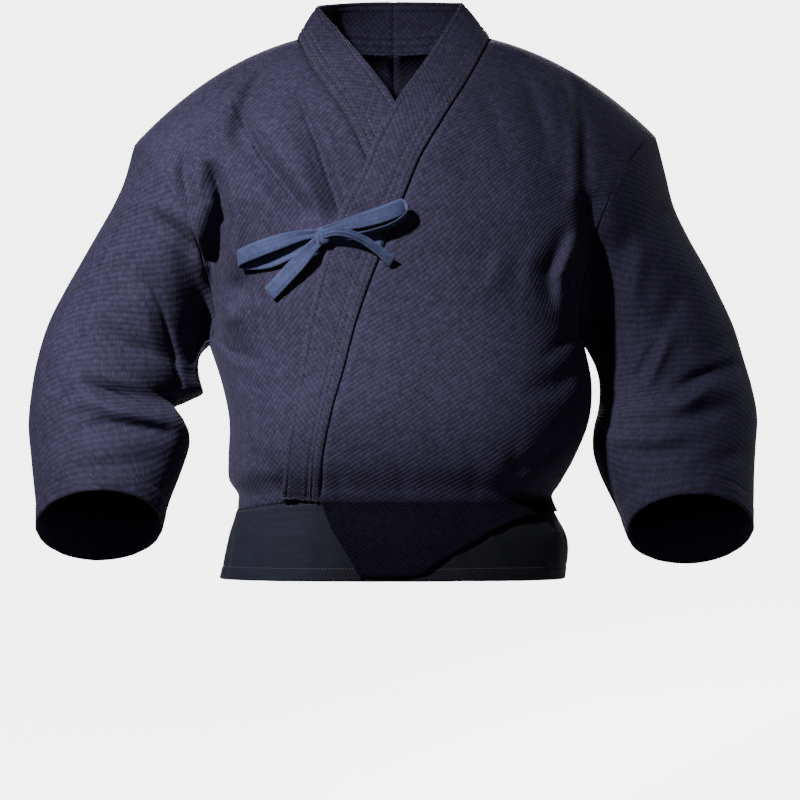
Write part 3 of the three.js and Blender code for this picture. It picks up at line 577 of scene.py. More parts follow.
def node_group(kind, name, inputs, outputs):
    """An empty node group with named inputs and outputs."""
    group = bpy.data.node_groups.new(name, kind)
    for label, socket_kind, value in inputs:
        socket = group.interface.new_socket(label, in_out="INPUT", socket_type=socket_kind)
        if value is not None:
            socket.default_value = value
    for label, socket_kind in outputs:
        group.interface.new_socket(label, in_out="OUTPUT", socket_type=socket_kind)
    return group, group.nodes.new("NodeGroupInput"), group.nodes.new("NodeGroupOutput")


FLOAT, VECTOR, COLOUR = "NodeSocketFloat", "NodeSocketVector", "NodeSocketColor"


def rice_grain_group():
    """Raised grains on a lattice of two crossing rows, as this cloth's float threads make them."""
    group, given, result = node_group(
        "ShaderNodeTree", "rice_grain",
        [("UV", VECTOR, None), ("Pitch", FLOAT, 0.0045), ("Uneven", FLOAT, 0.0016)],
        [("Height", FLOAT), ("Grain Tone", FLOAT)],
    )
    noise = node(group, "ShaderNodeTexNoise", {"Vector": given.outputs["UV"], "Scale": 70.0,
                 "Detail": 2.0}, noise_dimensions="2D")
    shift = node(group, "ShaderNodeVectorMath", {0: noise.outputs["Color"], 1: (-0.5, -0.5, 0)},
                 operation="ADD").outputs[0]
    uneven = node(group, "ShaderNodeVectorMath", {0: shift, "Scale": given.outputs["Uneven"]},
                  operation="SCALE").outputs[0]
    place = node(group, "ShaderNodeVectorMath", {0: given.outputs["UV"], 1: uneven},
                 operation="ADD").outputs[0]
    parts = node(group, "ShaderNodeSeparateXYZ", {0: place}).outputs
    waves, cells = [], []
    for axis, share in (("X", 0.28), ("Y", 0.44)):
        turns = maths(group, "DIVIDE", parts[axis], given.outputs["Pitch"])
        wave = maths(group, "COSINE", maths(group, "MULTIPLY", turns, 2 * math.pi))
        waves.append(maths(group, "MULTIPLY", wave, share))
        cells.append(maths(group, "ROUND", turns))
    both = maths(group, "ADD", maths(group, "ADD", *waves), 0.28)
    dome = maths(group, "POWER", maths(group, "MAXIMUM", both, 0.0), 0.8)
    cell = node(group, "ShaderNodeCombineXYZ", dict(enumerate(cells))).outputs[0]
    tone = node(group, "ShaderNodeTexWhiteNoise", {"Vector": cell}, noise_dimensions="3D")
    fill(group, result, {"Height": dome, "Grain Tone": tone.outputs["Value"]})
    return group


def dye_group():
    """Uneven indigo dye, paler on raised threads and where the cloth has rubbed."""
    group, given, result = node_group(
        "ShaderNodeTree", "indigo_dye",
        [("Dark", COLOUR, (0, 0, 0, 1)), ("Pale", COLOUR, (1, 1, 1, 1)),
         ("Raised", FLOAT, 0.5), ("Cloudy", FLOAT, 0.5), ("Cloud Scale", FLOAT, 9.0)],
        [("Color", COLOUR)],
    )
    place = node(group, "ShaderNodeTexCoord").outputs["Object"]
    clouds = node(group, "ShaderNodeTexNoise", {"Vector": place, "Detail": 3.0,
                  "Scale": given.outputs["Cloud Scale"]}).outputs["Fac"]
    specks = node(group, "ShaderNodeTexNoise", {"Vector": place, "Detail": 2.0,
                  "Scale": 260.0}).outputs["Fac"]
    spread = maths(group, "MULTIPLY", maths(group, "SUBTRACT", clouds, 0.5), given.outputs["Cloudy"])
    speckled = maths(group, "MULTIPLY_ADD", maths(group, "SUBTRACT", specks, 0.5), 0.5, spread)
    factor = maths(group, "ADD", given.outputs["Raised"], speckled, use_clamp=True)
    mix = node(group, "ShaderNodeMixRGB", {"Fac": factor, "Color1": given.outputs["Dark"],
               "Color2": given.outputs["Pale"]})
    fill(group, result, {"Color": mix.outputs["Color"]})
    return group


RICE_GRAIN = rice_grain_group()
DYE = dye_group()
# Share of its colour and gloss that the left panel's corner keeps under its painted shade
PAINTED_SHADE_CORNER = 0.14
GRAIN_DEPTH = 0.00028


def painted_shade_ramp(tree, axis, start, end, before, after):
    """A share of painted shade that changes from before to after between two places along an axis."""
    place = node(tree, "ShaderNodeTexCoord").outputs["Object"]
    place = node(tree, "ShaderNodeSeparateXYZ", {0: place}).outputs[axis]
    return node(tree, "ShaderNodeMapRange", {"Value": place, "From Min": start, "From Max": end,
                "To Min": before, "To Max": after}).outputs[0]


def dyed(tree, painted_shade, dye):
    """Colour of a cloth from the values of its dye, darkened by a share of painted shade."""
    colour = node(tree, "ShaderNodeGroup", dye, node_tree=DYE).outputs["Color"]
    return node(tree, "ShaderNodeMixRGB", {"Fac": 1.0, "Color1": colour, "Color2": painted_shade},
                blend_type="MULTIPLY").outputs[0]


def relief(tree, height, depth):
    """Normal of a cloth whose threads stand out by a depth."""
    return node(tree, "ShaderNodeBump", {"Height": height, "Distance": depth,
                "Strength": 1.0}).outputs[0]


def sashiko_material(name, rows_rise, painted_shade_below=-9.0, dark=(0.006, 0.0055, 0.014, 1),
                     pale=(0.046, 0.038, 0.086, 1)):
    """Rice-grain cotton whose rows rise by an angle, with painted shade below a height."""
    look, tree, shader = material(name)
    uv = node(tree, "ShaderNodeUVMap", uv_map="cloth").outputs[0]
    turned = node(tree, "ShaderNodeVectorRotate", {"Vector": uv, "Angle": -math.radians(rows_rise)},
                  rotation_type="Z_AXIS").outputs[0]
    grain = node(tree, "ShaderNodeGroup", {"UV": turned}, node_tree=RICE_GRAIN).outputs
    # Grain tops are painted paler and the gaps darker: partly wear of the raised threads, partly painted
    # highlight and shade
    own_tone = maths(tree, "MULTIPLY_ADD", grain["Grain Tone"], 0.2, 0.14)
    raised = maths(tree, "MULTIPLY_ADD", grain["Height"], 0.22, own_tone)
    # Painted shade: colour and gloss are darkened below a height
    painted_shade = painted_shade_ramp(tree, "Z", painted_shade_below - 0.012, painted_shade_below, PAINTED_SHADE_CORNER, 1.0)
    fill(tree, shader, {
        "Base Color": dyed(tree, painted_shade, {"Raised": raised, "Cloudy": 0.4, "Dark": dark, "Pale": pale}),
        "Normal": relief(tree, grain["Height"], GRAIN_DEPTH),
        "Roughness": 0.86, "Specular IOR Level": maths(tree, "MULTIPLY", painted_shade, 0.18),
        "Sheen Weight": 0.05, "Sheen Roughness": 0.45, "Sheen Tint": (0.62, 0.62, 0.9, 1),
    })
    return look


# Share of the shoulder's slope that the weave doesn't follow
STRAIGHT_SHARE = 0.6
NECK_ROWS = RIDGE_ROW + (NAPE_ROW - RIDGE_ROW) * np.sin(np.linspace(0, math.pi / 2, 25))
# Dip of the cloth beside each seam, and height of its puckers
SEAM_SIZES = {"armhole": (0.4, 0.05), "side": (0.9, 0.25), "collar": (2.4, 0.3), "back": (0.8, 0.2),
              "waist": (1.2, 0.8)}
CORNER_STEPS = 16
PANEL_RIM = 0.15


def panel_rows(side, row_step):
    """Rows of a panel, from the front waist over the shoulder to the back waist."""
    front = np.arange(0, RIDGE_ROW - row_step / 2, row_step)
    back = np.arange(NAPE_ROW + row_step, BACK_WAIST_ROW, row_step)
    rows = np.concatenate([front, NECK_ROWS, back, [BACK_WAIST_ROW - HALF_SEAM_ROW]])
    if side == "right":
        rows[0] = HALF_SEAM_ROW
    return rows


def with_corner(row, span):
    """The left panel's rows, with those of its free corner before them."""
    half_down, edge = WAIST_ROW - 0.5, math.pi / 2
    start = inner_turn("left", np.array(half_down))
    guess = body_point(start * (1 - span) + edge * span, half_down, False)
    foot = read(CORNER_FOOT, "x", guess[:, 0], "row")
    return np.concatenate([foot[:, None] * np.linspace(1, 0, CORNER_STEPS)[:-1], row], 1)


def left_lift(points, row):
    """How far the left panel lies over the right one, and its corner over the lower panel."""
    over = lap(points[..., 0], points[..., 2])
    foot_lift = np.maximum(skirt_lift(points[..., 0]) + CORNER_LIFT - over, 0)
    return np.where(row < RIDGE_ROW, over + foot_lift * smooth(1, 0, row), 0)


def panel_seams(side, row, across, along):
    """Fall of a panel into the seams at its side, its inner edge and its waist."""
    sizes = [np.where(in_armhole(row), *both) for both in zip(SEAM_SIZES["armhole"], SEAM_SIZES["side"])]
    shape = seam_shape(across[-1:] - across, along, *sizes, 3)
    collar_seam = seam_shape(across, along, *SEAM_SIZES["collar"], 7, reach=3)
    shape += np.where(row < RIDGE_ROW, collar_seam, 0)
    shape += np.where(row > NAPE_ROW, seam_shape(across, along, *SEAM_SIZES["back"], 8), 0)
    shape += seam_shape(along[:, -1:] - along, across, *SEAM_SIZES["waist"], 11)
    if side == "right":
        shape += seam_shape(along, across, *SEAM_SIZES["waist"], 13)
    return shape


def panel_cloth(side, points, row, rows, across, along):
    """Places of a panel's points on the flat cloth, whose rows of grains stay straight."""
    sign = SIDE_SIGN[side]
    inner_x = points[0, :, 0]
    inner_x = np.where(row[0] < NAPE_ROW, inner_x, sign * np.abs(inner_x))
    u = sign * across + inner_x * 0.9
    waist = np.argmin(np.abs(row[0]))
    down_middle = distances(body_point(0.6 * sign, rows)[None], 1)[0]
    offset = along - along[:, waist:waist + 1]
    v = np.where(row < 0, offset, 0.5 * offset + 0.5 * np.interp(row, rows, down_middle))
    slope = 2 * smooth(RIDGE_ROW + 2, RIDGE_ROW - 2, row) - 1
    v = v + STRAIGHT_SHARE * slope * (points[..., 2] - read(MIDDLE, "row", row, "z"))
    return np.stack([u, v], -1)


def body_panel(side, columns=128, row_step=0.075):
    """Outer points of a body panel, their normals and their places on the cloth."""
    rows = panel_rows(side, row_step)
    span = np.linspace(0, 1, columns + 1)
    row = np.tile(rows, (columns + 1, 1))
    if side == "left":
        row = with_corner(row, span)
    start = inner_turn(side, row)
    turn = start + (SIDE_SIGN[side] * math.pi / 2 - start) * span[:, None]
    points, normals = body_point(turn, row), body_normal(turn, row)
    if side == "left":
        points = points + normals * left_lift(points, row)[..., None]
    plain = body_point(turn, row, False)
    across, along = distances(plain, 0), distances(plain, 1)
    points = points + normals * panel_seams(side, row, across, along)[..., None]
    facing = grid_normals(points, normals)
    # The last columns crowd at the armhole, and face as the one before them does
    hole = in_armhole(row[-8:, :, None])
    facing[-8:] = np.where(hole, facing[-9], facing[-8:])
    return points, facing, panel_cloth(side, points, row, rows, across, along)


SASHIKO_RIGHT = sashiko_material("sashiko_right_panel", 50)
# The left panel's free corner below the waist gets painted shade
SASHIKO_LEFT = sashiko_material("sashiko_left_panel", 34, painted_shade_below=-0.472)
body_right = wall("jacket_body_right", *body_panel("right"), SASHIKO_WALL, rim=PANEL_RIM)
body_left = wall("jacket_body_left", *body_panel("left"), SASHIKO_WALL, rim=PANEL_RIM)
finish_piece(body_right, SASHIKO_RIGHT, ["body_right"])
finish_piece(body_left, SASHIKO_LEFT, ["body_left"])


# Sleeves
# Each is one length sewn along the underarm, set on at the armhole, and bent at the elbow.
# The hem at the wrist is turned in and stitched.
CUFF_RING = 13
CUFF_HEM = 18
UNDERARM_GIRTH = 70
# Depth, bow, rise and tilt of both sleeves' rings, from the armhole to the cuff
SLEEVE_RINGS = table("ring y depth bow rise tilt", [
    (0, 0, 86, 25, 13, 0), (1, 8, 80, 14, 8, 1), (2, 13, 76, 7, 4, 3), (3, 16, 74, 2, 1, 5),
    (4, 17, 72, 0, 0, 8), (5, 17, 71, 0, 0, 10), (6, 16, 70, 0, 0, 12), (7, 12, 68, 0, 0, 15),
    (8, 6, 66, 0, 0, 19), (9, -2, 64, 0, 0, 24), (10, -11, 62, 0, 0, 29), (11, -19, 61, 0, 0, 33),
    (12, -27, 60, 0, 0, 36), (13, -34, 59, 0, 0, 38),
])
# The sleeves' outer and inner edges in the front view
SLEEVE_EDGES = {
    "right": table("ring out_x out_z in_x in_z", [
        (0, -272, -110, -194, -318), (1, -283, -148, -204, -331), (2, -296, -176, -206, -341),
        (3, -312, -204, -205, -350), (4, -329, -234, -203, -358), (5, -346, -264, -201, -365),
        (6, -363, -298, -201, -371), (7, -374, -334, -215, -377), (8, -380, -368, -230, -384),
        (9, -383, -404, -219, -402), (10, -380, -436, -213, -420), (11, -377, -462, -221, -447),
        (12, -374, -488, -233, -478), (13, -373, -511, -241, -507),
    ]),
    "left": table("ring out_x out_z in_x in_z", [
        (0, 276, -102, 200, -318), (1, 286, -140, 208, -332), (2, 295, -174, 213, -343),
        (3, 311, -208, 216, -354), (4, 329, -240, 217, -364), (5, 344, -270, 217, -374),
        (6, 358, -301, 216, -384), (7, 368, -334, 214, -394), (8, 377, -366, 211, -405),
        (9, 382, -396, 209, -418), (10, 380, -426, 210, -434), (11, 378, -454, 217, -454),
        (12, 377, -484, 231, -482), (13, 376, -511, 244, -514),
    ]),
}
SLEEVE_FOLDS = {
    "right": table(FOLD, [
        (-324, -352, -297, -368, -236, -381, 9, -7, 0, 1),
        (-334, -374, -290, -391, -232, -398, 11, 5, 0, 0.8),
        (-244, -185, -222, -205, -204, -238, 10, -6, 0, 0.6),
        (-250, -270, -240, -312, -226, -350, 10, -5, 0, 0.4),
        (-330, -412, -290, -402, -240, -408, 10, -4, 0, 0.5),
        (-222, -212, -208, -255, -206, -310, 12, -8, 0.2, 0.6),
    ]),
    "left": table(FOLD, [
        (358, -342, 318, -356, 290, -370, 9, -6, 0.4, 0),
        (362, -360, 318, -374, 290, -388, 10, 5, 0.4, 0),
        (290, -306, 272, -342, 258, -372, 11, 5, 0, 0),
        (246, -190, 232, -230, 226, -290, 11, -5, 0.3, 0),
    ]),
}
SLEEVE_CREASES = {
    "right": table(FOLD, [
        (-236, -198, -214, -218, -198, -262, 8, 3, 0, 0.4),
        (-262, -172, -236, -190, -212, -216, 9, 3, 0, 0.2),
        (-257, -243, -240, -285, -223, -362, 3, -5, 0.1, 0.9),
        (-196, -240, -201, -290, -208, -345, 28, -20, 1, 0.4),
        (-268, -262, -252, -304, -236, -352, 8, 3, 0, 0.3),
        (-324, -359, -296, -370, -248, -388, 3, -5, 0.2, 0.8),
        (-318, -346, -290, -357, -246, -370, 7, 2.6, 0, 0.4),
        (-322, -371, -292, -384, -244, -400, 6, 2.6, 0, 0.4),
        (-340, -412, -300, -402, -236, -412, 7, -4, 0, 0.7),
        (-352, -398, -322, -392, -292, -394, 7, -2.6, 0, 0),
        (-310, -296, -276, -322, -232, -334, 10, -4, 0, 0.5),
        (-296, -216, -270, -250, -236, -276, 12, -3.4, 0, 0.4),
        (-340, -450, -300, -446, -246, -440, 10, -3, 0, 0.4),
        (-332, -296, -320, -322, -300, -342, 9, -2.6, 0, 0),
        (-300, -466, -292, -490, -290, -515, 9, -2.2, 0, 0.5),
        (-352, -450, -346, -480, -350, -510, 9, -2, 0, 0.4),
        (-366, -330, -352, -362, -330, -384, 10, -2.4, 0, 0),
    ]),
    "left": table(FOLD, [
        (360, -340, 318, -355, 288, -370, 7, -3.2, 0.5, 0),
        (220, -232, 224, -300, 220, -366, 24, -14, 0.8, 0.8),
        (346, -352, 316, -372, 286, -388, 7, 4, 0.2, 0),
        (278, -312, 262, -344, 246, -374, 7, -5, 0, 0),
        (292, -302, 274, -340, 258, -374, 6, 3, 0, 0),
        (352, -384, 318, -394, 282, -404, 9, -4.5, 0.3, 0),
        (306, -394, 268, -404, 222, -402, 9, -4.5, 0, 0.8),
        (310, -410, 270, -420, 226, -418, 9, 3, 0, 0.4),
        (306, -250, 290, -284, 276, -312, 12, -3.4, 0, 0),
        (264, -206, 252, -250, 244, -300, 9, 3.4, 0.2, 0),
        (334, -422, 290, -432, 236, -430, 10, -3.6, 0, 0.5),
        (372, -430, 340, -440, 306, -446, 9, -3, 0.3, 0),
        (336, -460, 326, -485, 322, -515, 9, -2.4, 0, 0.5),
        (290, -150, 276, -186, 262, -220, 12, -3.4, 0.2, 0),
        (362, -300, 344, -322, 318, -334, 11, -2.6, 0.3, 0),
    ]),
}


def turned_hem(left, hem, lift, dip, width):
    """Relief of a hem that is turned in and stitched, by the distance left to the edge."""
    return lift * smooth(hem, hem - 2, left) - dip * bell(left - hem, width)


def sleeve_point(side, ring, angle, creases=True):
    """Points of a sleeve. The angle runs round it from the top over the front."""
    rows = {name: read(rings, "ring", ring, name) for rings in (SLEEVE_EDGES[side], SLEEVE_RINGS)
            for name in rings}
    half, depth = (1 + np.cos(angle)) / 2, np.sin(angle)
    reach = np.abs(depth)
    x = rows["in_x"] + (rows["out_x"] - rows["in_x"]) * half - SIDE_SIGN[side] * rows["bow"] * reach
    y = rows["y"] - rows["depth"] * depth
    z = rows["in_z"] + (rows["out_z"] - rows["in_z"]) * half
    z = z + rows["rise"] * reach + rows["tilt"] * depth
    if not creases:
        return np.stack([x, y, z], -1)
    ease = smooth(0.1, 0.6, reach)
    crease = folded(SLEEVE_FOLDS[side], x, z) * smooth(0, 2, ring) * ease
    fine = folded(SLEEVE_CREASES[side], x, z) * CREASE_STRENGTH
    crease = crease + fine * smooth(0, 0.6, ring) * ease
    y = y - np.where(depth > 0, crease, -0.6 * crease) - armpit_folded(x, y, z)
    return np.stack([x, y, z], -1)


def sleeve(side, around=150, steps=120):
    """Outer points of a sleeve, their normals and their places on the cloth."""
    turn = np.linspace(0, 2 * math.pi, around + 1)[:-1, None]
    ring = np.linspace(0, 1, steps + 1)[None, :] * CUFF_RING
    points = sleeve_point(side, ring, turn)
    middle = points.mean(0, keepdims=True)
    normals = grid_normals(points, points - middle, True)
    plain = sleeve_point(side, ring, turn, False)
    closed = np.concatenate([plain, plain[:1]])
    across, along = distances(closed, 0), distances(closed, 1)
    left = along[:, -1:] - along
    shape = seam_shape(along, across, *SEAM_SIZES["armhole"], 21)[:-1]
    hem = turned_hem(left, CUFF_HEM, 0.5, 0.9, 1.8) + 0.5 * wander(across, 23, 34) * bell(left, 26)
    underarm = np.minimum(np.abs(turn - math.pi), 1) * UNDERARM_GIRTH
    shape = shape + hem[:-1] - 0.9 * bell(underarm, 3)
    points = points + normals * shape[..., None]
    even = np.tile(along.mean(0), (around + 1, 1))
    cloth = np.stack([across, -0.7 * along - 0.3 * even], -1)
    return points, grid_normals(points, points - middle, True), cloth


SASHIKO_SLEEVES = {
    "right": sashiko_material("sashiko_right_sleeve", 45),
    # The left sleeve's paler threads are darkened as painted shade
    "left": sashiko_material("sashiko_left_sleeve", 45, pale=(0.038, 0.032, 0.072, 1)),
}
sleeve_grids = {}
for side, look in SASHIKO_SLEEVES.items():
    points, normals, cloth = sleeve(side)
    sleeve_grids[side] = (points, normals)
    piece = wall(f"jacket_sleeve_{side}", points, normals, cloth, SASHIKO_WALL, wrapped=True,
                 rim=PANEL_RIM)
    finish_piece(piece, look, [f"sleeve_{side}"])


# Collar
# A folded band stitched in rows, 55 wide. The left half lies over the right, and the halves
# meet at the nape.
COLLAR_WALL = 3.2
COLLAR_WIDTH = 55
COLLAR_RISE = 0.8
NAPE_HEIGHT, NAPE_DEPTH = 44, 66
COLLAR_STANDS_FROM = -60
NECK_TOP = {"left": (72, 4, 39), "right": (-80, 4, 35)}
STITCH_ROWS = (3.5, 11, 18.5, 48)


def collar_edge(side, row, seam):
    """The collar's free edge, on the chest or standing round the neck."""
    top_x, top_y, top_z = NECK_TOP[side]
    back = np.clip((row - RIDGE_ROW) / (NAPE_ROW - RIDGE_ROW), 0, 1)
    sideways = np.sqrt(1 - back * back)
    neck = np.stack([top_x * sideways + np.sign(top_x) * SEAM_GAP / 2,
                     top_y + (NAPE_DEPTH - top_y) * back,
                     top_z + (NAPE_HEIGHT - top_z) * back], -1)
    x = read(COLLARS[side], "seam_z", seam[:, 2], "edge_x")
    z = read(COLLARS[side], "seam_z", seam[:, 2], "edge_z")
    level = front_row_at(x, np.minimum(z, COLLAR_STANDS_FROM))
    point = body_point(turn_at(x, level), level, False)
    climb = np.maximum((z - COLLAR_STANDS_FROM) / (top_z - COLLAR_STANDS_FROM), 0)
    stand = 0.6 * climb + 0.4 * smooth(0, 1, climb)
    chest = np.stack([x, point[:, 1] + (top_y - point[:, 1]) * stand, z], -1)
    return np.where((row < RIDGE_ROW)[:, None], chest, neck)


def collar_relief(across, along, share):
    """Puffed strips between the rows of stitches, and the dips at the band's seams and foot."""
    width = across[-1:]
    puff = 0.9 * np.sin(math.pi * share) ** 0.7
    for place in STITCH_ROWS:
        puff = puff - 0.75 * bell(across * COLLAR_WIDTH / width - place, 1.5)
    puff = puff + 0.8 * bell(across, 9) - 1.3 * bell(across, 1.3) - 0.6 * bell(width - across, 1.4)
    return puff + 0.25 * wander(along, 31, 47) * share - 2.2 * smooth(14, 0, along)


def collar(side, columns=56, row_step=0.06):
    """Outer points of half of the collar, their normals and their places on the cloth."""
    sign = SIDE_SIGN[side]
    front = np.arange(row_step, RIDGE_ROW - row_step / 2, row_step)
    row = np.concatenate([[HALF_SEAM_ROW], front, NECK_ROWS])
    turn = inner_turn(side, row)
    seam, normal = body_point(turn, row, False), body_normal(turn, row)
    edge = collar_edge(side, row, seam)
    facing = unit(np.cross(edge - seam, np.gradient(edge, axis=0)))
    flip = np.where(row > RIDGE_ROW - 1, sign * facing[:, 0] < 0, np.sum(facing * normal, -1) < 0)
    facing = np.where(flip[:, None], -facing, facing)
    share = np.linspace(0, 1, columns + 1)[:, None, None]
    tucked = SEAM_GAP - 1.4 * smooth(RIDGE_ROW, NAPE_ROW - 0.3, row)
    start = seam + unit(edge - seam) * tucked[:, None]
    points = start * (1 - share) + edge * share
    away = unit(normal * (1 - share) + facing * share)
    over = lap(points[..., 0], points[..., 2]) if side == "left" else np.zeros(points.shape[:2])
    lift = np.where(row < RIDGE_ROW, over, 0) + COLLAR_RISE
    across, along = distances(points, 0), distances(points, 1)
    points = points + away * (lift + collar_relief(across, along, share[..., 0]))[..., None]
    cloth = np.stack([sign * across, np.tile(along.mean(0), (columns + 1, 1))], -1)
    return points, grid_normals(points, away), cloth


SASHIKO_COLLAR = sashiko_material("sashiko_collar", 45)
collar_grids = {}
for side in ("right", "left"):
    points, normals, cloth = collar(side)
    collar_grids[side] = (points, normals)
    piece = wall(f"jacket_collar_{side}", points, normals, cloth, COLLAR_WALL, rim=0.45)
    finish_piece(piece, SASHIKO_COLLAR, [f"collar_{side}"])


# Lower panels
# Plain cotton sewn on below the waist: a right front that runs under the overlap, a left front
# and a back. The waist seam is slightly gathered, and the hem is turned in and stitched.
PLAIN_WALL = 1.6
UNDERLAP_X = 60
CORNER_OVERLAP = 5
SKIRT_HEM = 13


def plain_threads_group():
    """Fine threads of a plain cotton, with faint streaks along them."""
    group, given, result = node_group(
        "ShaderNodeTree", "plain_threads",
        [("UV", VECTOR, None), ("Thread Pitch", FLOAT, 0.0011), ("Streak Length", FLOAT, 0.05),
         ("Streak Width", FLOAT, 0.0035)],
        [("Height", FLOAT), ("Streaks", FLOAT)],
    )
    parts = node(group, "ShaderNodeSeparateXYZ", {0: given.outputs["UV"]}).outputs
    along = maths(group, "DIVIDE", parts["X"], given.outputs["Streak Length"])
    across = maths(group, "DIVIDE", parts["Y"], given.outputs["Streak Width"])
    stretched = node(group, "ShaderNodeCombineXYZ", {0: along, 1: across}).outputs[0]
    streaks = node(group, "ShaderNodeTexNoise", {"Vector": stretched, "Scale": 1.0, "Detail": 2.0},
                   noise_dimensions="2D").outputs["Fac"]
    scaled = maths(group, "DIVIDE", 2 * math.pi, given.outputs["Thread Pitch"])
    warp = maths(group, "SINE", maths(group, "MULTIPLY", parts["X"], scaled))
    weft = maths(group, "SINE", maths(group, "MULTIPLY", parts["Y"], scaled))
    threads = maths(group, "MULTIPLY_ADD", warp, weft, 1.0)
    fill(group, result, {"Height": maths(group, "MULTIPLY", threads, 0.5), "Streaks": streaks})
    return group


PLAIN_THREADS = plain_threads_group()
# Share of its colour that plain cotton keeps under its painted shade
PAINTED_SHADE_BAND = 0.34
THREAD_DEPTH = 0.00015


def plain_material(name, dark, pale, sheen, painted_shade_right_of=9.0):
    """Smooth cotton with fine threads and faint streaks, with painted shade right of a place across."""
    look, tree, shader = material(name)
    uv = node(tree, "ShaderNodeUVMap", uv_map="cloth").outputs[0]
    threads = node(tree, "ShaderNodeGroup", {"UV": uv}, node_tree=PLAIN_THREADS).outputs
    fine = maths(tree, "MULTIPLY", threads["Height"], 0.12)
    raised = maths(tree, "MULTIPLY_ADD", threads["Streaks"], 0.5, fine)
    # Painted shade: the colour is darkened right of a place across
    painted_shade = painted_shade_ramp(tree, "X", painted_shade_right_of - 0.05, painted_shade_right_of, 1.0, PAINTED_SHADE_BAND)
    height = maths(tree, "MULTIPLY_ADD", threads["Streaks"], 0.6, threads["Height"])
    fill(tree, shader, {
        "Base Color": dyed(tree, painted_shade, {"Raised": raised, "Dark": dark, "Pale": pale}),
        "Normal": relief(tree, height, THREAD_DEPTH), "Roughness": 0.8, "Specular IOR Level": 0.14,
        "Sheen Weight": sheen, "Sheen Roughness": 0.4, "Sheen Tint": (0.75, 0.82, 0.95, 1),
    })
    return look


def skirt_panel(start_x, end_x, front, lift_at, seed, columns=120, levels=34):
    """Outer points of a lower panel, their normals and their places on the cloth."""
    level = np.maximum(np.linspace(0, WAIST_ROW - FRONT_HEM_ROW, levels + 1), HALF_SEAM_ROW)
    row = WAIST_ROW - level if front else BACK_WAIST_ROW + level
    first, last = turn_at(start_x(row), row), turn_at(end_x(row), row)
    turn = first + (last - first) * np.linspace(0, 1, columns + 1)[:, None]
    row = np.tile(row, (columns + 1, 1))
    points, normals = body_point(turn, row, False), body_normal(turn, row)
    points = points + normals * lift_at(points[..., 0])[..., None]
    across, along = distances(points, 0), distances(points, 1)
    left = along[:, -1:] - along
    fan = 1.2 * wander(across, seed, 46) * smooth(2, 40, along) * smooth(0, 60, left + 30)
    shape = seam_shape(along, across, 1.1, 0.9, seed + 1, reach=3, wave=9) + fan
    shape = shape + turned_hem(left, SKIRT_HEM, 0.35, 0.6, 1.4)
    points = points + normals * shape[..., None]
    return points, grid_normals(points, normals), np.stack([across, -along], -1)


def right_side(row):
    """Place across of the right side seam."""
    return side_point("right", row)[..., 0]


def left_side(row):
    """Place across of the left side seam."""
    return side_point("left", row)[..., 0]


def underlap(row):
    """Place across where the right front ends under the left one."""
    return UNDERLAP_X + 0 * row


def under_corner(row):
    """Place across where the left front starts, just under the edge of the free corner."""
    return read(CORNER, "z", read(MIDDLE, "row", row, "z"), "x") + CORNER_OVERLAP


def flat_on(x):
    """No lift."""
    return 0 * x


# The lower panels get painted shade on the viewer's right, from 45 mm left of the middle
PLAIN_COTTON = plain_material("plain_cotton", (0.0035, 0.0038, 0.0085, 1), (0.011, 0.0125, 0.027, 1),
                              0.04, painted_shade_right_of=-0.045)
# Where a panel starts and ends, if it is in front, its lift and seed, its width and area in metres
# and what it hangs from
SKIRTS = {
    "front_right": (underlap, right_side, True, flat_on, 41, 0.30, 0.025, "body_right"),
    "front_left": (under_corner, left_side, True, skirt_lift, 51, 0.30, 0.0245, "body_left"),
    "back": (left_side, right_side, False, flat_on, 61, 0.44, 0.0367, "body_right"),
}
skirt_grids = {}
for name, (*ends, front, lift_at, seed, wide, area, over) in SKIRTS.items():
    points, normals, cloth = skirt_panel(*ends, front, lift_at, seed)
    skirt_grids[name] = (points, normals)
    piece = wall(f"jacket_skirt_{name}", points, normals, cloth, PLAIN_WALL)
    finish_piece(piece, PLAIN_COTTON, [f"skirt_{name}"])


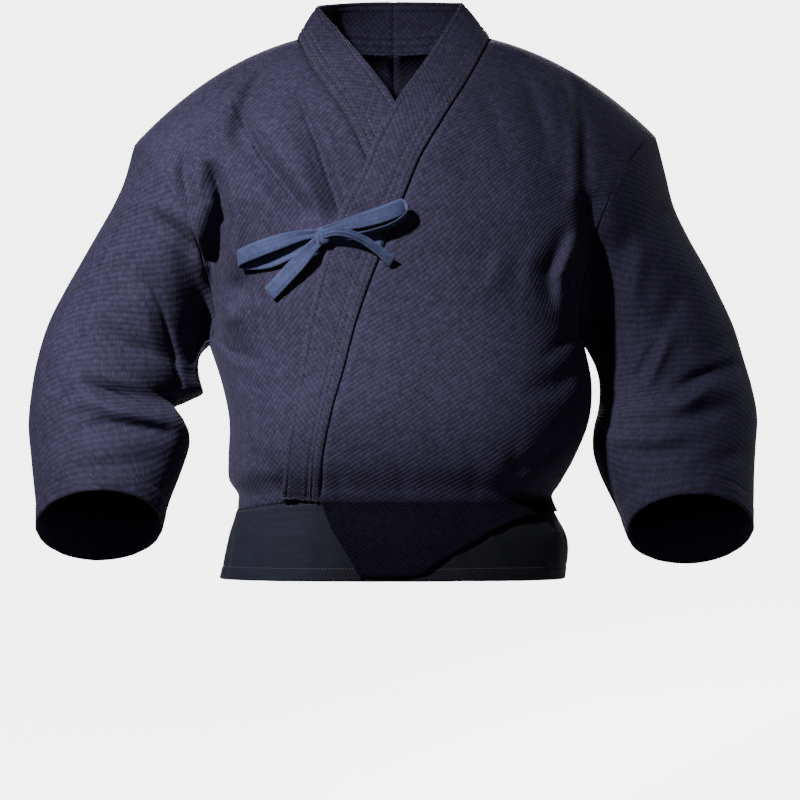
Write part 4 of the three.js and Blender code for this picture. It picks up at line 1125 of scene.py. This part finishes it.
# Chest tie
# Flat cotton tape 16 wide, sewn to each front and tied in a bow on the overlap. Lift is out from
# the chest, lean is the way that the width runs in degrees, and face is 1 where it is on edge.
TAPE_WALL, TAPE_WIDTH = 1.4, 16
CUP_DEPTH, GATHER_DEPTH = 2.2, 0.7
TAPE = "x z lift lean face wide"
KNOT = {"x": -70, "z": -211, "lift": 13.2, "across": 9.5, "up": 10.5, "deep": 6.3}
TAPES = {
    "tie_end": table(TAPE, [
        (-12, -216, 7.3, 86, 0, 16), (-30, -214, 7.3, 88, 0, 16), (-48, -212.5, 7.4, 90, 0, 14),
        (-66, -211, 8.4, 90, 0, 10),
    ]),
    "bow_loop_right": table(TAPE, [
        (-70, -208.5, 16, 90, 0.2, 8), (-88, -211, 18, 92, 0.2, 10),
        (-108, -216, 18, 94, 0.1, 14), (-130, -222.5, 16.5, 95, 0, 16),
        (-147, -228, 14.5, 95, 0, 16), (-155, -231, 11.5, 94, 0, 16),
        (-155, -233.5, 7.6, 94, 0, 16), (-145, -235.5, 5, 93, 0, 16), (-125, -234, 5, 92, 0, 16),
        (-103, -226.5, 7, 96, 0, 14), (-86, -217.5, 10, 98, 0.1, 10), (-70, -212.5, 11.5, 95, 0.2, 8),
    ]),
    "bow_loop_left": table(TAPE, [
        (-70, -206, 16, 105, 0.2, 8), (-52, -202, 18.5, 110, 0.1, 10),
        (-34, -197.5, 20, 112, 0.05, 14), (-14, -191.5, 20.5, 113, 0.05, 16),
        (3, -185, 20, 113, 0.1, 16), (11, -182, 18, 108, 0.3, 16), (14, -188, 17, 80, 0.65, 16),
        (7, -196, 16, 62, 0.8, 16), (-6, -203, 15.5, 62, 0.85, 15),
        (-31, -210, 15, 68, 0.85, 12), (-50, -213, 14.5, 78, 0.7, 9),
        (-70, -213, 13.5, 85, 0.4, 7),
    ]),
    "bow_tail_right": table(TAPE, [
        (-70, -213, 16, 130, 0.2, 9), (-81, -224, 15, 134, 0.15, 12),
        (-94, -238, 12, 136, 0.05, 15), (-110, -254, 8, 136, 0, 16), (-125, -269, 5, 134, 0, 16),
    ]),
    "bow_tail_left": table(TAPE, [
        (-70, -211, 19, 90, 0.2, 7), (-56, -208.5, 23.5, 80, 0.3, 8), (-42, -211, 24, 70, 0.4, 9),
        (-28, -217.5, 20.5, 62, 0.45, 10), (-14, -227, 16, 58, 0.45, 11),
        (-1, -238, 12, 56, 0.35, 12),
    ]),
}


def on_front(x, z):
    """Point and normal of the chest at places of the front view."""
    row = front_row_at(x, z)
    turn = turn_at(x, row)
    return body_point(turn, row, False), body_normal(turn, row)


def tape(rows, steps_each=10, across_count=9):
    """Outer points of a flat tape along its middle line, cupped where it gathers."""
    count = len(rows["x"])
    at = np.linspace(0, count - 1, (count - 1) * steps_each + 1)
    rows = {"at": np.arange(count, dtype=float), **rows}
    x, z, lift, lean, face, wide = (read(rows, "at", at, name) for name in TAPE.split())
    base, normal = on_front(x, z)
    middle = base + normal * lift[:, None]
    flat = np.stack([np.cos(np.radians(lean)), 0 * lean, np.sin(np.radians(lean))], -1)
    flat = unit(flat - normal * np.sum(flat * normal, -1, keepdims=True))
    edge_on = (face * math.pi / 2)[:, None]
    side_way = flat * np.cos(edge_on) + normal * np.sin(edge_on)
    way = np.gradient(middle, axis=0)
    through = unit(np.cross(way, side_way))
    place = np.linspace(-0.5, 0.5, across_count)[:, None]
    gather = (TAPE_WIDTH - wide) / TAPE_WIDTH
    cup = gather * CUP_DEPTH * (1 - (2 * place) ** 2) * wide / TAPE_WIDTH
    fold = gather * GATHER_DEPTH * np.cos(place * 12.5)
    length = distances(middle[None], 1)[0]
    lift = cup + fold + TAPE_WALL / 2 + 0.25 * wander(length, 71, 19)
    points = middle + side_way * (place * wide)[..., None] + through * lift[..., None]
    sideways = np.tile(place * TAPE_WIDTH, (1, len(at)))
    cloth = np.stack([np.tile(length, (across_count, 1)), sideways], -1)
    return points, grid_normals(points, np.tile(through, (across_count, 1, 1))), cloth


def knot():
    """The knot: tape wrapped over itself, pinched at both ends."""
    base, normal = on_front(np.array([KNOT["x"]]), np.array([KNOT["z"]]))
    base, normal = base[0] + normal[0] * KNOT["lift"], normal[0]
    up = unit(np.array([0, 0, 1.0]) - normal * normal[2])
    side_way = np.cross(up, normal)
    turn = np.linspace(0, 2 * math.pi, 65)[:-1, None]
    place = np.linspace(-1, 1, 33)[None, :]
    swell = 1 - np.abs(place) ** 3.2 * 0.55
    ridge = 0.35 * np.cos(place * 11 + 2 * np.sin(turn)) * (1 - np.abs(place))
    rise, run = np.sin(turn), np.cos(turn)
    high = np.sign(rise) * np.abs(rise) ** 0.8 * (KNOT["up"] - 1.2) * swell + ridge * rise
    deep = np.sign(run) * np.abs(run) ** 0.8 * (KNOT["deep"] - 0.6) * swell + ridge * run
    wide = place * (KNOT["across"] - 1) + 0 * turn
    points = base + wide[..., None] * side_way + high[..., None] * up + deep[..., None] * normal
    closed = np.concatenate([points, points[:1]])
    cloth = np.stack([distances(closed, 0), distances(closed, 1)], -1)
    return points, grid_normals(points, points - base, True), cloth


TIE_TAPE = plain_material("tie_tape", (0.017, 0.022, 0.055, 1), (0.075, 0.09, 0.2, 1), 0.2)
piece = wall("jacket_bow_knot", *knot(), TAPE_WALL, wrapped=True)
finish_piece(piece, TIE_TAPE, ["bow_knot"])
# Areas in square metres
TAPE_AREAS = {"tie_end": 0.0009, "bow_loop_right": 0.0028, "bow_loop_left": 0.0026,
              "bow_tail_right": 0.0011, "bow_tail_left": 0.0008}
tape_grids = {}
for name, rows in TAPES.items():
    points, normals, cloth = tape(rows)
    tape_grids[name] = (points, normals)
    piece = wall(f"jacket_{name}", points, normals, cloth, TAPE_WALL, rim=0.4)
    finish_piece(piece, TIE_TAPE, [name])
    area = TAPE_AREAS[name]


# Sewing
# Rows of stitches hold the collar's folded band, the hems, the lower panel's top and the tape's edges.
# One node group sets a stitch at every step of a line and lays it on the cloth.
WAIST_STITCH, TAPE_STITCH = 3.5, 1.8
# Share of the right front's waist seam that lies under the overlap and isn't stitched
SHOWS_FROM = 0.34


def stitch_nodes():
    """Geometry nodes that set stitches along lines drawn on the cloth."""
    group, given, result = node_group(
        "GeometryNodeTree", "stitch_row",
        [("Lines", "NodeSocketGeometry", None), ("Pitch", FLOAT, 0.004), ("Length", FLOAT, 0.003),
         ("Thickness", FLOAT, 0.0007), ("Sway", FLOAT, 0.12), ("Seed", "NodeSocketInt", 1),
         ("Thread", "NodeSocketMaterial", None)],
        [("Stitches", "NodeSocketGeometry")],
    )
    curve = node(group, "GeometryNodeMeshToCurve", {"Mesh": given.outputs["Lines"]})
    even = node(group, "GeometryNodeResampleCurve", {"Curve": curve.outputs[0],
                "Length": given.outputs["Pitch"]}, mode="LENGTH")
    ball = node(group, "GeometryNodeMeshUVSphere", {"Segments": 6, "Rings": 4, "Radius": 0.5})
    size = node(group, "ShaderNodeCombineXYZ", {0: given.outputs["Length"],
                1: given.outputs["Thickness"], 2: given.outputs["Thickness"]})
    thread = node(group, "GeometryNodeTransform", {"Geometry": ball.outputs["Mesh"],
                  "Scale": size.outputs[0]})
    facing = node(group, "GeometryNodeInputNamedAttribute", {"Name": "facing"},
                  data_type="FLOAT_VECTOR")
    tangent = node(group, "GeometryNodeInputTangent")
    axes = node(group, "FunctionNodeAxesToRotation", {"Primary Axis": facing.outputs[0],
                "Secondary Axis": tangent.outputs[0]}, primary_axis="Z", secondary_axis="X")
    other_way = maths(group, "MULTIPLY", given.outputs["Sway"], -1.0)
    angle = node(group, "FunctionNodeRandomValue", {"Seed": given.outputs["Seed"], 2: other_way,
                 3: given.outputs["Sway"]}, data_type="FLOAT")
    turn = node(group, "ShaderNodeCombineXYZ", {2: angle.outputs[1]})
    swayed = node(group, "FunctionNodeRotateRotation", {"Rotation": axes.outputs[0],
                  1: turn.outputs[0]}, rotation_space="LOCAL")
    placed = node(group, "GeometryNodeInstanceOnPoints", {"Points": even.outputs[0],
                  "Instance": thread.outputs[0], "Rotation": swayed.outputs[0]})
    real = node(group, "GeometryNodeRealizeInstances", {"Geometry": placed.outputs[0]})
    soft = node(group, "GeometryNodeSetShadeSmooth", {"Geometry": real.outputs[0]})
    threaded = node(group, "GeometryNodeSetMaterial", {"Geometry": soft.outputs[0],
                "Material": given.outputs["Thread"]})
    fill(group, result, {"Stitches": threaded.outputs[0]})
    return group


STITCH_NODES = stitch_nodes()


def inset(grid, edge, distance, first=0.0, last=1.0):
    """A line on a grid at a distance from one of its edges, and the way that the cloth faces."""
    points, normals = grid
    if edge.startswith("along"):
        points, normals = points.transpose(1, 0, 2), normals.transpose(1, 0, 2)
    if edge.endswith("end"):
        points, normals = points[::-1], normals[::-1]
    far = distances(points, 0)
    line = np.empty(points.shape[1:])
    facing = np.empty(points.shape[1:])
    for k in range(points.shape[1]):
        for axis in range(3):
            line[k, axis] = np.interp(distance, far[:, k], points[:, k, axis])
            facing[k, axis] = np.interp(distance, far[:, k], normals[:, k, axis])
    keep = slice(int(first * len(line)), max(int(last * len(line)), 2))
    return line[keep], facing[keep]


def stitches(name, lines, look, seed, pitch, length, thickness):
    """One piece of sewing from lines on the cloth."""
    points, edges, ways = [], [], []
    for line, facing in lines:
        begin = sum(len(p) for p in points)
        points.append(line + facing * thickness * 0.2)
        ways.append(facing)
        edges += [(begin + k, begin + k + 1) for k in range(len(line) - 1)]
    mesh = bpy.data.meshes.new(name)
    mesh.from_pydata((np.concatenate(points) * MM).tolist(), edges, [])
    layer = mesh.attributes.new("facing", "FLOAT_VECTOR", "POINT")
    layer.data.foreach_set("vector", np.concatenate(ways).astype(np.float32).ravel())
    source = bpy.data.objects.new(name + "_lines", mesh)
    bpy.context.scene.collection.objects.link(source)
    modifier = source.modifiers.new("stitch_row", "NODES")
    modifier.node_group = STITCH_NODES
    values = {"Pitch": pitch * MM, "Length": length * MM, "Thickness": thickness * MM,
              "Seed": seed, "Thread": look}
    for item in STITCH_NODES.interface.items_tree:
        if item.item_type == "SOCKET" and item.in_out == "INPUT" and item.name in values:
            modifier[item.identifier] = values[item.name]
    bpy.context.view_layer.update()
    graph = bpy.context.evaluated_depsgraph_get()
    made = bpy.data.meshes.new_from_object(source.evaluated_get(graph), depsgraph=graph)
    bpy.data.objects.remove(source)
    made.name = name
    piece = bpy.data.objects.new(name, made)
    bpy.context.scene.collection.objects.link(piece)
    finish_piece(piece, look, [])


def thread_material(name, dark, pale):
    """Soft cotton thread."""
    look, tree, shader = material(name)
    dye = node(tree, "ShaderNodeGroup", {"Dark": dark, "Pale": pale}, node_tree=DYE)
    fill(tree, shader, {"Base Color": dye.outputs["Color"], "Roughness": 0.6, "Sheen Weight": 0.3})
    return look


NAVY_THREAD = thread_material("navy_thread", (0.005, 0.005, 0.011, 1), (0.024, 0.022, 0.044, 1))
BLUE_THREAD = thread_material("blue_thread", (0.02, 0.03, 0.07, 1), (0.09, 0.12, 0.26, 1))

for side in ("right", "left"):
    rows = [inset(collar_grids[side], "across_start", place) for place in STITCH_ROWS]
    stitches(f"collar_stitching_{side}", rows, NAVY_THREAD, 101,
             pitch=4.2, length=3.0, thickness=0.8)
    closed = [np.concatenate([part, part[:1]]) for part in sleeve_grids[side]]
    stitches(f"cuff_stitching_{side}", [inset(closed, "along_end", CUFF_HEM)], NAVY_THREAD,
             102, pitch=4.4, length=3.0, thickness=0.8)
hem_lines = [inset(grid, "along_end", SKIRT_HEM) for grid in skirt_grids.values()]
hem_lines += [inset(skirt_grids["front_right"], "along_start", WAIST_STITCH, SHOWS_FROM)]
hem_lines += [inset(skirt_grids["back"], "along_start", WAIST_STITCH)]
stitches("skirt_stitching", hem_lines, NAVY_THREAD, 103,
         pitch=3.6, length=2.6, thickness=0.6)
tape_lines = [inset(grid, edge, TAPE_STITCH, 0.05, 0.95) for grid in tape_grids.values()
              for edge in ("across_start", "across_end")]
stitches("tape_stitching", tape_lines, BLUE_THREAD, 104,
         pitch=2.6, length=1.8, thickness=0.4)
